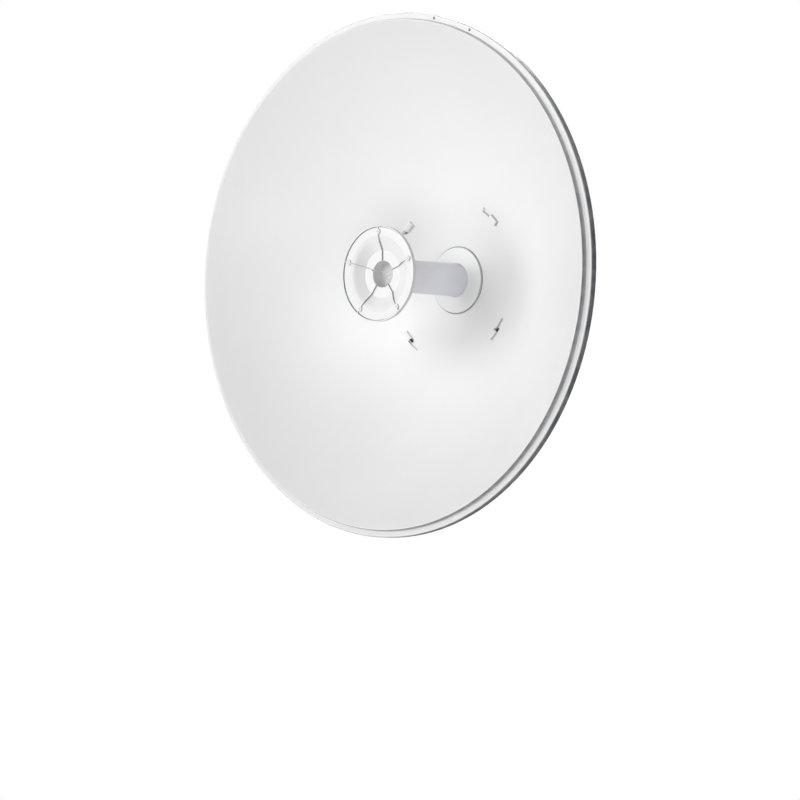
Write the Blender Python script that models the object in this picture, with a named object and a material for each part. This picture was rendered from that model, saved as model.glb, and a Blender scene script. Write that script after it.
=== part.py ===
# A 0.65 m point-to-point dish antenna on its pole bracket.
# Metres, +Z up. The dish looks along -Y. The origin is on the flat rear face of the
# pole bracket, where the pole bears on it. Depths along the dish's own axis are counted
# from the flat lip of the rim, backwards (+Y).

import math

import bmesh
import bpy
from mathutils import Matrix, Vector

MM = 0.001
FIT_GAP = 0.3 * MM
CUT_OVERRUN = 1.0 * MM
HOLE_SEGMENTS = 16

# Rim and bowl
DISH_RADIUS = 325.0 * MM
SHEET = 1.0 * MM
BOWL_VERTEX_Y = 125.9 * MM
FOCAL_LENGTH = 186.5 * MM
BOWL_EDGE_RADIUS = 314.3 * MM
CREST_FOLD = 1.4 * MM
STEP_WALL_ANGLE = 86.0
STEP_FOOT_RADIUS = 316.9 * MM
FOOT_FOLD = 0.7 * MM
LIP_FOLD = 2.0 * MM
FLANGE_DEPTH = 8.6 * MM
CENTRE_HOLE_RADIUS = 21.2 * MM
HUB_SEAT_RADIUS = 44.0 * MM
BOWL_RINGS = 9
DISH_SEGMENTS = 72
LIP_HOLE_RADIUS = 1.3 * MM
LIP_HOLE_CIRCLE = 320.8 * MM
LIP_HOLE_ANGLES = (66.0, 77.0)
LIP_HOLE_SEGMENTS = 10
LIP_HOLE_FRONT_Y = -3.0 * MM
LIP_HOLE_REAR_Y = 4.0 * MM

# Bayonet lances: a bridge pressed forwards and a strap pressed back, end to end.
# A bridge is given as (place along it, share of its height, share of its half width).
LANCE_RADIUS = 100.5 * MM
LANCE_ANGLE = 48.0
LANCE_COUNT = 4
LANCE_BITE = 0.6 * MM
LANCE_SPLIT = 0.1 * MM
ARCH_STEPS = 8
BRIDGE_LENGTH = 14.5 * MM
BRIDGE_HALF_WIDTH = 4.6 * MM
BRIDGE_HEIGHT = 4.6 * MM
BRIDGE_SHAPE = (
    (-BRIDGE_LENGTH, 0.45, 0.78),
    (-13.3 * MM, 0.8, 0.92),
    (-11.5 * MM, 1.0, 1.0),
    (-LANCE_SPLIT, 1.0, 1.0),
)
BRIDGE_HOLLOW = (
    (-11.9 * MM, 0.85, 0.85),
    (-10.5 * MM, 1.0, 1.0),
    (2.0 * LANCE_SPLIT, 1.0, 1.0),
)
STRAP_LENGTH = 16.5 * MM
STRAP_HALF_WIDTH = 5.0 * MM
STRAP_DEPTH = 3.5 * MM
STRAP_SHELL_TOP = -0.2 * MM
STRAP_CUT_TOP = 6.0 * MM

# Feed head, tube and hub
FEED_SEGMENTS = 40
HUB_RADIUS = 42.3 * MM
HUB_EDGE_Y = 121.5 * MM
HUB_CREST_Y = 119.6 * MM
HUB_EDGE_CHAMFER = 0.4 * MM
HUB_COLLAR_WIDTH = 1.2 * MM
HUB_COLLAR_DEPTH = 0.8 * MM
TUBE_RADIUS = 20.6 * MM
TUBE_FRONT_Y = 1.8 * MM
TUBE_REAR_Y = 150.0 * MM
TUBE_CHAMFER = 0.6 * MM
HEAD_RADIUS = 59.6 * MM
HEAD_FACE_Y = -22.6 * MM
HEAD_LIP_HEIGHT = 1.6 * MM
HEAD_LIP_WIDTH = 1.8 * MM
HEAD_LIP_DRAFT = 0.2 * MM
HEAD_LIP_CHAMFER = 0.4 * MM
CAP_WALL = 1.6 * MM
CAP_BITE = 0.8 * MM
CAP_SIDE_LEAN = 0.45
RECESS_OUTER_RADIUS = 47.5 * MM
RECESS_BREAK_RADIUS = 41.4 * MM
RECESS_INNER_RADIUS = 29.5 * MM
RECESS_BREAK_Y = HEAD_FACE_Y + 2.2 * MM
RECESS_FLOOR_Y = HEAD_FACE_Y + 7.9 * MM
WELL_RADIUS = 16.5 * MM
WELL_DRAFT = 0.4 * MM
WELL_FLOOR_Y = -0.7 * MM
RIB_COUNT = 5
RIB_FIRST_ANGLE = 90.0
RIB_HALF_WIDTH = 0.65 * MM
RIB_HEIGHT = 1.4 * MM
RIB_START_RADIUS = 2.2 * MM
RIB_LIP_BITE = 0.3 * MM
BOSS_CIRCLE = 52.0 * MM
BOSS_RADIUS = 2.6 * MM
BOSS_HEIGHT = 1.2 * MM
BOSS_SEGMENTS = 12
CONE_REAR_RADIUS = 24.5 * MM
CONE_REAR_Y = 9.0 * MM
CONE_BAND = 1.2 * MM

# Feed's rear end
LOCK_RING_RADIUS = 36.0 * MM
LOCK_RING_REAR_Y = 137.0 * MM
HOUSING_RADIUS = 27.0 * MM
HOUSING_REAR_Y = 170.0 * MM
REAR_CHAMFER = 2.0 * MM
JACK_OFFSET = 12.5 * MM
JACK_HALF_FLATS = 7.0 * MM
JACK_COLLAR_END = 4.0 * MM
JACK_RADIUS = 4.6 * MM
JACK_LENGTH = 17.0 * MM

# Back plate, its hooks and the support ring
SUPPORT_INNER_RADIUS = 50.0 * MM
SUPPORT_OUTER_RADIUS = 64.0 * MM
PLATE_FRONT_Y = 131.0 * MM
PLATE_THICKNESS = 3.0 * MM
PLATE_REAR_Y = PLATE_FRONT_Y + PLATE_THICKNESS
PLATE_HALF = 95.0 * MM
PLATE_CORNER = 22.0 * MM
PLATE_HOLE_RADIUS = 45.0 * MM
PLATE_HOLE_SEGMENTS = 32
HOOK_HALF_THICKNESS = 1.25 * MM
HOOK_STEM_START = -10.5 * MM
HOOK_STEM_END = -3.5 * MM
HOOK_TIP_END = 5.0 * MM
HOOK_CLEARANCE = 0.45 * MM
HOOK_TIP_THICKNESS = 1.4 * MM

# Elevation cheeks
STEEL = 3.0 * MM
CHEEK_INNER_X = 52.0 * MM
CHEEK_FOOT_WIDTH = 32.0 * MM
CHEEK_HALF_HEIGHT = 75.0 * MM
CHEEK_REAR_Y = 238.0 * MM
CHEEK_LOWER_CORNER = 12.0 * MM
CHEEK_UPPER_CORNER = 23.0 * MM
FOOT_BOLT_X = 70.0 * MM
FOOT_BOLT_Z = 55.0 * MM
PIVOT_Y = 216.0 * MM
PIVOT_Z = -45.0 * MM
LOCK_RADIUS = 82.0 * MM
LOCK_SWING = 20.0
SLOT_STEPS = 6

# Bolts: half widths, and lengths along the bolt
BOLT_SEGMENTS = 12
BOLT_RADIUS = 4.0 * MM
BOLT_TAIL = 2.0 * MM
HEX_HALF_FLATS = 6.5 * MM
HEAD_HEIGHT = 5.0 * MM
NUT_HEIGHT = 6.5 * MM
WASHER_RADIUS = 9.0 * MM
WASHER_THICKNESS = 1.6 * MM
HOLE_RADIUS = BOLT_RADIUS + FIT_GAP
ROUND_HEAD_RADIUS = 8.5 * MM
ROUND_HEAD_SHOULDER = 8.0 * MM
ROUND_HEAD_TOP = 5.5 * MM
ROUND_HEAD_BAND = 3.0 * MM

# Pole bracket and clamp jaws
MOUNT_DEPTH = 262.0 * MM
BRACKET_WEB = 4.0 * MM
BRACKET_FRONT_Y = 196.0 * MM
BRACKET_HALF_HEIGHT = 72.0 * MM
BRACKET_FOLD = 5.0 * MM
OUTER_FOLD_STEPS = 4
INNER_FOLD_STEPS = 3
CLAMP_BOLT_X = 38.0 * MM
CLAMP_BOLT_Z = 52.0 * MM
CLAMP_BOLT_END_Y = 322.0 * MM
JAW_FLAT_Y = 298.0 * MM
JAW_RISE = 22.0 * MM
JAW_V_HALF_WIDTH = 26.0 * MM
JAW_HALF_WIDTH = 50.0 * MM
JAW_THICKNESS = 4.0 * MM
JAW_HEIGHT = 30.0 * MM

CORNERS = (("left_upper", -1, 1), ("right_upper", 1, 1), ("left_lower", -1, -1), ("right_lower", 1, -1))
SIDES = (("left", -1.0), ("right", 1.0))


def clear_scene():
    for obj in list(bpy.data.objects):
        bpy.data.objects.remove(obj, do_unlink=True)


def make_material(name, color, roughness, metallic):
    material = bpy.data.materials.new(name)
    material.use_nodes = True
    shader = material.node_tree.nodes["Principled BSDF"]
    shader.inputs["Base Color"].default_value = (*color, 1.0)
    shader.inputs["Roughness"].default_value = roughness
    shader.inputs["Metallic"].default_value = metallic
    material.diffuse_color = (*color, 1.0)
    return material


def add_object(name, bm, material, parent, location=(0.0, 0.0, 0.0)):
    bmesh.ops.recalc_face_normals(bm, faces=bm.faces)
    mesh = bpy.data.meshes.new(name)
    bm.to_mesh(mesh)
    bm.free()
    mesh.shade_smooth()
    mesh.set_sharp_from_angle(angle=math.radians(30.0))
    mesh.materials.append(material)
    obj = bpy.data.objects.new(name, mesh)
    bpy.context.collection.objects.link(obj)
    obj.parent = parent
    obj.location = location
    return obj


def add_cutter(name, bm, material, parent, location=(0.0, 0.0, 0.0)):
    cutter = add_object(name, bm, material, parent, location)
    cutter.hide_render = True
    cutter.display_type = "WIRE"
    return cutter


def add_boolean(obj, operand, operation):
    modifier = obj.modifiers.new(operation.lower() + "_" + operand.name, "BOOLEAN")
    modifier.operation = operation
    modifier.solver = "EXACT"
    modifier.object = operand


def arc_points(centre, radius, start, end, count):
    points = []
    for i in range(count + 1):
        angle = start + (end - start) * i / count
        points.append((centre[0] + radius * math.cos(angle), centre[1] + radius * math.sin(angle)))
    return points


def circle_outline(centre, radius, count=HOLE_SEGMENTS):
    return arc_points(centre, radius, 0.0, 2.0 * math.pi * (count - 1) / count, count - 1)


# A closed outline of (radius, y) points turned about the Y axis
def revolve(outline, segments):
    bm = bmesh.new()
    rings = []
    for radius, y in outline:
        if radius == 0.0:
            rings.append([bm.verts.new((0.0, y, 0.0))])
            continue
        ring = []
        for i in range(segments):
            angle = 2.0 * math.pi * i / segments
            ring.append(bm.verts.new((radius * math.cos(angle), y, radius * math.sin(angle))))
        rings.append(ring)
    for first, second in zip(rings, rings[1:] + rings[:1]):
        if len(first) == 1 and len(second) == 1:
            continue
        for i in range(segments):
            j = (i + 1) % segments
            if len(first) == 1:
                bm.faces.new((first[0], second[i], second[j]))
            elif len(second) == 1:
                bm.faces.new((first[i], first[j], second[0]))
            else:
                bm.faces.new((first[i], first[j], second[j], second[i]))
    return bm


# Rings of equal point count joined end to end and closed at both ends
def join_sections(bm, sections):
    rings = [[bm.verts.new(point) for point in section] for section in sections]
    bm.faces.new(rings[0])
    bm.faces.new(rings[-1])
    for first, second in zip(rings, rings[1:]):
        count = len(first)
        for i in range(count):
            j = (i + 1) % count
            bm.faces.new((first[i], first[j], second[j], second[i]))


# A closed outline in a plane, swept along a vector; frame takes (u, v, w) to the part
def extrude_outline(bm, outline, low, high, frame):
    join_sections(bm, [[frame @ Vector((u, v, w)) for u, v in outline] for w in (low, high)])


def axes_frame(u_axis, v_axis, w_axis, origin=(0.0, 0.0, 0.0)):
    frame = Matrix.Identity(4)
    for row in range(3):
        frame[row] = (u_axis[row], v_axis[row], w_axis[row], origin[row])
    return frame


FRAME_XZ = axes_frame((1, 0, 0), (0, 0, 1), (0, 1, 0))
FRAME_XY = axes_frame((1, 0, 0), (0, 1, 0), (0, 0, 1))
FRAME_YZ = axes_frame((0, 1, 0), (0, 0, 1), (1, 0, 0))


# A bolt, nut or plug: steps along an axis, each (position, half width, round or hex)
def stepped_sections(steps, frame):
    sections = []
    for position, half_width, shape in steps:
        ring = []
        for i in range(BOLT_SEGMENTS):
            angle = 2.0 * math.pi * i / BOLT_SEGMENTS
            radius = half_width
            if shape == "hex":
                radius = half_width / math.cos(angle % (math.pi / 3.0) - math.pi / 6.0)
            ring.append(frame @ Vector((radius * math.cos(angle), radius * math.sin(angle), position)))
        sections.append(ring)
    return sections


# The directions outwards from and round the dish's axis at an angle
def ring_directions(degrees):
    angle = math.radians(degrees)
    outward = Vector((math.cos(angle), 0.0, math.sin(angle)))
    along = Vector((-math.sin(angle), 0.0, math.cos(angle)))
    return outward, along


def lance_angle(index):
    return LANCE_ANGLE + 360.0 / LANCE_COUNT * index


def rib_angle(index):
    return RIB_FIRST_ANGLE + 360.0 / RIB_COUNT * index


def bowl_y(radius):
    return BOWL_VERTEX_Y - radius * radius / (4.0 * FOCAL_LENGTH)


def bowl_back_y(radius):
    slope = radius / (2.0 * FOCAL_LENGTH)
    return bowl_y(radius) + SHEET * math.sqrt(1.0 + slope * slope)


# The face of the pressed sheet that shows: bowl, crest, step, lip and turned-back flange
def visible_face():
    face = [(CENTRE_HOLE_RADIUS, bowl_y(CENTRE_HOLE_RADIUS))]
    for i in range(BOWL_RINGS):
        radius = HUB_SEAT_RADIUS + (BOWL_EDGE_RADIUS - HUB_SEAT_RADIUS) * i / BOWL_RINGS
        face.append((radius, bowl_y(radius)))
    slope_angle = math.atan(-BOWL_EDGE_RADIUS / (2.0 * FOCAL_LENGTH))
    wall_angle = math.radians(STEP_WALL_ANGLE)
    quarter = math.pi / 2.0
    crest_centre = (BOWL_EDGE_RADIUS - CREST_FOLD * math.sin(slope_angle),
                    bowl_y(BOWL_EDGE_RADIUS) + CREST_FOLD * math.cos(slope_angle))
    face += arc_points(crest_centre, CREST_FOLD, slope_angle - quarter, wall_angle - quarter, 3)
    foot_centre = (STEP_FOOT_RADIUS + FOOT_FOLD, -FOOT_FOLD)
    face += arc_points(foot_centre, FOOT_FOLD, wall_angle + quarter, quarter, 2)
    face += arc_points((DISH_RADIUS - LIP_FOLD, LIP_FOLD), LIP_FOLD, -quarter, 0.0, 3)
    return face + [(DISH_RADIUS, FLANGE_DEPTH)]


# The same sheet's closed section, with the hidden face one sheet thickness behind
def reflector_outline():
    front = visible_face()
    last = len(front) - 1
    back = []
    for i, point in enumerate(front):
        here = Vector(point)
        into = (here - Vector(front[max(i - 1, 0)])).normalized()
        out = (Vector(front[min(i + 1, last)]) - here).normalized()
        if i == 0:
            into = out
        if i == last:
            out = into
        normal_in = Vector((-into.y, into.x))
        normal_out = Vector((-out.y, out.x))
        mitre = (normal_in + normal_out).normalized()
        back.append(tuple(here + mitre * SHEET / mitre.dot(normal_in)))
    return front + back[::-1]


# Across, forwards and along a lance, from the bowl's surface at its middle
def lance_frame(index):
    outward, along = ring_directions(lance_angle(index))
    slope = LANCE_RADIUS / (2.0 * FOCAL_LENGTH)
    forward = (Vector((0.0, -1.0, 0.0)) - outward * slope).normalized()
    origin = outward * LANCE_RADIUS + Vector((0.0, bowl_y(LANCE_RADIUS), 0.0))
    return axes_frame(along.cross(forward), forward, along, origin)


# Half an ellipse standing on a base line
def arch_section(half_width, height, base, position, frame):
    section = [frame @ Vector((half_width, base, position))]
    for u, v in arc_points((0.0, 0.0), 1.0, 0.0, math.pi, ARCH_STEPS):
        section.append(frame @ Vector((u * half_width, v * height, position)))
    section.append(frame @ Vector((-half_width, base, position)))
    return section


def add_bridge(bm, shape, half_width, height, base, frame):
    sections = []
    for position, height_share, width_share in shape:
        sections.append(arch_section(half_width * width_share, height * height_share, base, position, frame))
    join_sections(bm, sections)


def build_lance_tools(material, parent):
    shells = bmesh.new()
    hollows = bmesh.new()
    mouths = bmesh.new()
    wide = STRAP_HALF_WIDTH
    inner = STRAP_HALF_WIDTH - SHEET
    floor = SHEET - STRAP_DEPTH
    hollow_half_width = BRIDGE_HALF_WIDTH - SHEET
    hollow_height = BRIDGE_HEIGHT - SHEET
    strap = [(-wide, -STRAP_DEPTH), (wide, -STRAP_DEPTH), (wide, STRAP_SHELL_TOP), (-wide, STRAP_SHELL_TOP)]
    mouth = [(-inner, floor), (inner, floor), (inner, STRAP_CUT_TOP), (-inner, STRAP_CUT_TOP)]
    for index in range(LANCE_COUNT):
        frame = lance_frame(index)
        add_bridge(shells, BRIDGE_SHAPE, BRIDGE_HALF_WIDTH, BRIDGE_HEIGHT, -LANCE_BITE, frame)
        extrude_outline(shells, strap, LANCE_SPLIT, STRAP_LENGTH, frame)
        add_bridge(hollows, BRIDGE_HOLLOW, hollow_half_width, hollow_height, -2.0 * SHEET, frame)
        extrude_outline(mouths, mouth, 0.0, STRAP_LENGTH - SHEET, frame)
    for angle in LIP_HOLE_ANGLES:
        outward = ring_directions(angle)[0]
        centre = (outward.x * LIP_HOLE_CIRCLE, outward.z * LIP_HOLE_CIRCLE)
        outline = circle_outline(centre, LIP_HOLE_RADIUS, LIP_HOLE_SEGMENTS)
        extrude_outline(mouths, outline, LIP_HOLE_FRONT_Y, LIP_HOLE_REAR_Y, FRAME_XZ)
    return (add_cutter("lance_shells", shells, material, parent),
            add_cutter("lance_hollows", hollows, material, parent),
            add_cutter("lance_mouths_and_lip_holes", mouths, material, parent))


def build_reflector(material, parent):
    reflector = add_object("reflector", revolve(reflector_outline(), DISH_SEGMENTS), material, parent)
    shells, hollows, mouths = build_lance_tools(material, parent)
    add_boolean(reflector, shells, "UNION")
    add_boolean(reflector, hollows, "DIFFERENCE")
    add_boolean(reflector, mouths, "DIFFERENCE")


# The disc rests on the flat between the centre hole and the bowl's first ring
def build_hub_disc(material, parent):
    inner = TUBE_RADIUS + FIT_GAP
    seat_y = bowl_y(CENTRE_HOLE_RADIUS)
    seat_slope = (seat_y - bowl_y(HUB_SEAT_RADIUS)) / (HUB_SEAT_RADIUS - CENTRE_HOLE_RADIUS)
    outline = [(inner, HUB_CREST_Y - HUB_COLLAR_DEPTH), (inner + HUB_COLLAR_WIDTH, HUB_CREST_Y),
               (HUB_RADIUS - HUB_EDGE_CHAMFER, HUB_EDGE_Y), (HUB_RADIUS, HUB_EDGE_Y + HUB_EDGE_CHAMFER)]
    for radius in (HUB_RADIUS, inner):
        outline.append((radius, seat_y - seat_slope * (radius - CENTRE_HOLE_RADIUS) - FIT_GAP))
    add_object("hub_disc", revolve(outline, FEED_SEGMENTS), material, parent)


def build_feed_tube(material, parent):
    outline = [(0.0, TUBE_FRONT_Y), (TUBE_RADIUS - TUBE_CHAMFER, TUBE_FRONT_Y),
               (TUBE_RADIUS, TUBE_FRONT_Y + TUBE_CHAMFER), (TUBE_RADIUS, TUBE_REAR_Y), (0.0, TUBE_REAR_Y)]
    add_object("feed_tube", revolve(outline, FEED_SEGMENTS), material, parent)


# The moulded front of the feed head, seen in section from its middle outwards
def cap_face():
    lip_top = HEAD_FACE_Y - HEAD_LIP_HEIGHT
    lip_foot = HEAD_RADIUS - HEAD_LIP_WIDTH
    return [(0.0, WELL_FLOOR_Y), (WELL_RADIUS - WELL_DRAFT, WELL_FLOOR_Y), (WELL_RADIUS, RECESS_FLOOR_Y),
            (RECESS_INNER_RADIUS, RECESS_FLOOR_Y), (RECESS_BREAK_RADIUS, RECESS_BREAK_Y),
            (RECESS_OUTER_RADIUS, HEAD_FACE_Y), (lip_foot, HEAD_FACE_Y), (lip_foot + HEAD_LIP_DRAFT, lip_top),
            (HEAD_RADIUS - HEAD_LIP_CHAMFER, lip_top), (HEAD_RADIUS, lip_top + HEAD_LIP_CHAMFER)]


# The rear of the cap's wall, from the rim inwards, moved back and in by a gap
def cap_back(gap):
    wall = CAP_WALL + gap
    side = CAP_SIDE_LEAN * wall
    return [(HEAD_RADIUS - 2.0 * gap, HEAD_FACE_Y + wall), (RECESS_OUTER_RADIUS + side, HEAD_FACE_Y + wall),
            (RECESS_BREAK_RADIUS + side, RECESS_BREAK_Y + wall),
            (RECESS_INNER_RADIUS + side, RECESS_FLOOR_Y + wall), (WELL_RADIUS + wall, RECESS_FLOOR_Y + wall)]


# Each rib follows the face from the rim's lip to near the middle of the well
def build_cap_ribs(material, parent):
    bm = bmesh.new()
    lip_end = HEAD_RADIUS - HEAD_LIP_WIDTH + RIB_LIP_BITE
    well_top = WELL_RADIUS - RIB_HEIGHT
    well_bottom = WELL_RADIUS + CAP_BITE
    outline = [(lip_end, HEAD_FACE_Y - RIB_HEIGHT), (RECESS_OUTER_RADIUS, HEAD_FACE_Y - RIB_HEIGHT),
               (RECESS_BREAK_RADIUS, RECESS_BREAK_Y - RIB_HEIGHT),
               (RECESS_INNER_RADIUS, RECESS_FLOOR_Y - RIB_HEIGHT),
               (well_top, RECESS_FLOOR_Y - RIB_HEIGHT), (well_top, WELL_FLOOR_Y - RIB_HEIGHT),
               (RIB_START_RADIUS, WELL_FLOOR_Y - RIB_HEIGHT), (RIB_START_RADIUS, WELL_FLOOR_Y + CAP_BITE),
               (well_bottom, WELL_FLOOR_Y + CAP_BITE), (well_bottom, RECESS_FLOOR_Y + CAP_BITE),
               (RECESS_INNER_RADIUS, RECESS_FLOOR_Y + CAP_BITE),
               (RECESS_BREAK_RADIUS, RECESS_BREAK_Y + CAP_BITE),
               (RECESS_OUTER_RADIUS, HEAD_FACE_Y + CAP_BITE), (lip_end, HEAD_FACE_Y + CAP_BITE)]
    for index in range(RIB_COUNT):
        outward, along = ring_directions(rib_angle(index))
        frame = axes_frame(outward, (0, 1, 0), along)
        extrude_outline(bm, outline, -RIB_HALF_WIDTH, RIB_HALF_WIDTH, frame)
    return add_cutter("cap_ribs", bm, material, parent)


def build_cap_bosses(material, parent):
    bm = bmesh.new()
    for index in range(RIB_COUNT):
        outward = ring_directions(rib_angle(index))[0]
        centre = (outward.x * BOSS_CIRCLE, outward.z * BOSS_CIRCLE)
        outline = circle_outline(centre, BOSS_RADIUS, BOSS_SEGMENTS)
        extrude_outline(bm, outline, HEAD_FACE_Y - BOSS_HEIGHT, HEAD_FACE_Y + CAP_BITE, FRAME_XZ)
    return add_cutter("cap_bosses", bm, material, parent)


def build_feed_cap(material, parent):
    well_back = [(WELL_RADIUS + CAP_WALL, WELL_FLOOR_Y + CAP_WALL), (0.0, WELL_FLOOR_Y + CAP_WALL)]
    outline = cap_face() + cap_back(0.0) + well_back
    cap = add_object("feed_cap", revolve(outline, FEED_SEGMENTS), material, parent)
    add_boolean(cap, build_cap_ribs(material, parent), "UNION")
    add_boolean(cap, build_cap_bosses(material, parent), "UNION")


def build_feed_cone(material, parent):
    bore = WELL_RADIUS + CAP_WALL + FIT_GAP
    socket = TUBE_RADIUS + FIT_GAP
    front = cap_back(FIT_GAP)
    rim_radius, rim_y = front[0]
    floor_y = front[-1][1]
    outline = front[:-1]
    outline += [(bore, floor_y), (bore, TUBE_FRONT_Y - FIT_GAP), (socket, TUBE_FRONT_Y - FIT_GAP),
                (socket, CONE_REAR_Y), (CONE_REAR_RADIUS, CONE_REAR_Y), (rim_radius, rim_y + CONE_BAND)]
    add_object("feed_cone", revolve(outline, FEED_SEGMENTS), material, parent)


def build_feed_rear(plastic, metal, parent):
    inner = TUBE_RADIUS + FIT_GAP
    ring = [(inner, bowl_back_y(inner) + FIT_GAP), (inner, LOCK_RING_REAR_Y),
            (LOCK_RING_RADIUS - REAR_CHAMFER, LOCK_RING_REAR_Y),
            (LOCK_RING_RADIUS, LOCK_RING_REAR_Y - REAR_CHAMFER),
            (LOCK_RING_RADIUS, bowl_back_y(LOCK_RING_RADIUS) + FIT_GAP)]
    add_object("feed_lock_ring", revolve(ring, FEED_SEGMENTS), plastic, parent)
    front = LOCK_RING_REAR_Y + FIT_GAP
    socket_end = TUBE_REAR_Y + FIT_GAP
    housing = [(inner, front), (inner, socket_end), (0.0, socket_end), (0.0, HOUSING_REAR_Y),
               (HOUSING_RADIUS - REAR_CHAMFER, HOUSING_REAR_Y),
               (HOUSING_RADIUS, HOUSING_REAR_Y - REAR_CHAMFER),
               (HOUSING_RADIUS, front)]
    add_object("feed_housing", revolve(housing, FEED_SEGMENTS), plastic, parent)
    steps = ((FIT_GAP, JACK_HALF_FLATS, "hex"), (JACK_COLLAR_END, JACK_HALF_FLATS, "hex"),
             (JACK_COLLAR_END, JACK_RADIUS, "round"), (JACK_LENGTH, JACK_RADIUS, "round"))
    for label, side in SIDES:
        bm = bmesh.new()
        join_sections(bm, stepped_sections(steps, FRAME_XZ))
        add_object("rf_jack_" + label, bm, metal, parent, (side * JACK_OFFSET, HOUSING_REAR_Y, 0.0))


def build_support_ring(material, parent):
    rear = PLATE_FRONT_Y - FIT_GAP
    outline = [(SUPPORT_INNER_RADIUS, bowl_back_y(SUPPORT_INNER_RADIUS) + FIT_GAP),
               (SUPPORT_OUTER_RADIUS, bowl_back_y(SUPPORT_OUTER_RADIUS) + FIT_GAP),
               (SUPPORT_OUTER_RADIUS, rear), (SUPPORT_INNER_RADIUS, rear)]
    add_object("support_ring", revolve(outline, FEED_SEGMENTS), material, parent)


def chamfered_square(half, corner):
    near = half - corner
    return [(near, -half), (half, -near), (half, near), (near, half),
            (-near, half), (-half, near), (-half, -near), (-near, -half)]


# Four hooks stand forward from the plate, through the bridges, and turn over the straps
def build_back_plate(material, parent):
    bm = bmesh.new()
    extrude_outline(bm, chamfered_square(PLATE_HALF, PLATE_CORNER), PLATE_FRONT_Y, PLATE_REAR_Y, FRAME_XZ)
    plate = add_object("back_plate", bm, material, parent)
    hooks = bmesh.new()
    root_y = (PLATE_FRONT_Y + PLATE_REAR_Y) / 2.0
    tip_front = bowl_y(LANCE_RADIUS) + HOOK_CLEARANCE
    tip_rear = tip_front + HOOK_TIP_THICKNESS
    hook = [(HOOK_STEM_START, root_y), (HOOK_STEM_START, tip_front), (HOOK_TIP_END, tip_front),
            (HOOK_TIP_END, tip_rear), (HOOK_STEM_END, tip_rear), (HOOK_STEM_END, root_y)]
    for index in range(LANCE_COUNT):
        outward, along = ring_directions(lance_angle(index))
        frame = axes_frame(along, (0, 1, 0), outward, outward * LANCE_RADIUS)
        extrude_outline(hooks, hook, -HOOK_HALF_THICKNESS, HOOK_HALF_THICKNESS, frame)
    holes = bmesh.new()
    cuts = [circle_outline((0.0, 0.0), PLATE_HOLE_RADIUS, PLATE_HOLE_SEGMENTS)]
    for _, side_x, side_z in CORNERS:
        cuts.append(circle_outline((side_x * FOOT_BOLT_X, side_z * FOOT_BOLT_Z), HOLE_RADIUS))
    for outline in cuts:
        extrude_outline(holes, outline, PLATE_FRONT_Y - CUT_OVERRUN, PLATE_REAR_Y + CUT_OVERRUN, FRAME_XZ)
    add_boolean(plate, add_cutter("plate_hooks", hooks, material, parent), "UNION")
    add_boolean(plate, add_cutter("plate_holes", holes, material, parent), "DIFFERENCE")


# A curved slot about a centre, open by a swing each way from straight up
def slot_outline(centre, radius, half_width):
    start = math.radians(90.0 - LOCK_SWING)
    end = math.radians(90.0 + LOCK_SWING)
    outline = arc_points(centre, radius + half_width, start, end, SLOT_STEPS)
    outline += arc_points(centre, radius - half_width, end, start, SLOT_STEPS)
    return outline


# Each elevation cheek is an angle of steel plate: a foot on the back plate and an upright web
def build_cheek(name, side, material, parent):
    front = PLATE_REAR_Y + FIT_GAP
    height = CHEEK_HALF_HEIGHT
    low, high = sorted((side * CHEEK_INNER_X, side * (CHEEK_INNER_X + STEEL)))
    web = [(front, -height), (CHEEK_REAR_Y - CHEEK_LOWER_CORNER, -height),
           (CHEEK_REAR_Y, CHEEK_LOWER_CORNER - height), (CHEEK_REAR_Y, height - CHEEK_UPPER_CORNER),
           (CHEEK_REAR_Y - CHEEK_UPPER_CORNER, height), (front, height)]
    bm = bmesh.new()
    extrude_outline(bm, web, low, high, FRAME_YZ)
    cheek = add_object(name, bm, material, parent)
    near, far = sorted((side * (CHEEK_INNER_X + 0.5 * STEEL), side * (CHEEK_INNER_X + CHEEK_FOOT_WIDTH)))
    foot = bmesh.new()
    foot_outline = [(near, front), (far, front), (far, front + STEEL), (near, front + STEEL)]
    extrude_outline(foot, foot_outline, -height, height, FRAME_XY)
    holes = bmesh.new()
    pivot = (PIVOT_Y, PIVOT_Z)
    for outline in (circle_outline(pivot, HOLE_RADIUS), slot_outline(pivot, LOCK_RADIUS, HOLE_RADIUS)):
        extrude_outline(holes, outline, low - CUT_OVERRUN, high + CUT_OVERRUN, FRAME_YZ)
    for z in (-FOOT_BOLT_Z, FOOT_BOLT_Z):
        outline = circle_outline((side * FOOT_BOLT_X, z), HOLE_RADIUS)
        extrude_outline(holes, outline, front - CUT_OVERRUN, front + STEEL + CUT_OVERRUN, FRAME_XZ)
    add_boolean(cheek, add_cutter(name + "_foot", foot, material, parent), "UNION")
    add_boolean(cheek, add_cutter(name + "_holes", holes, material, parent), "DIFFERENCE")


# A hex bolt with its washer, shank and nut, clamping plates of a given total thickness
def add_hex_bolt(name, material, parent, location, frame, grip):
    washer = -FIT_GAP - WASHER_THICKNESS
    nut = grip + FIT_GAP
    steps = ((washer - HEAD_HEIGHT, HEX_HALF_FLATS, "hex"), (washer, HEX_HALF_FLATS, "hex"),
             (washer, WASHER_RADIUS, "round"), (-FIT_GAP, WASHER_RADIUS, "round"),
             (-FIT_GAP, BOLT_RADIUS, "round"), (nut, BOLT_RADIUS, "round"),
             (nut, HEX_HALF_FLATS, "hex"), (nut + NUT_HEIGHT, HEX_HALF_FLATS, "hex"),
             (nut + NUT_HEIGHT, BOLT_RADIUS, "round"), (nut + NUT_HEIGHT + BOLT_TAIL, BOLT_RADIUS, "round"))
    bm = bmesh.new()
    join_sections(bm, stepped_sections(steps, frame))
    add_object(name, bm, material, parent, location)


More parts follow.
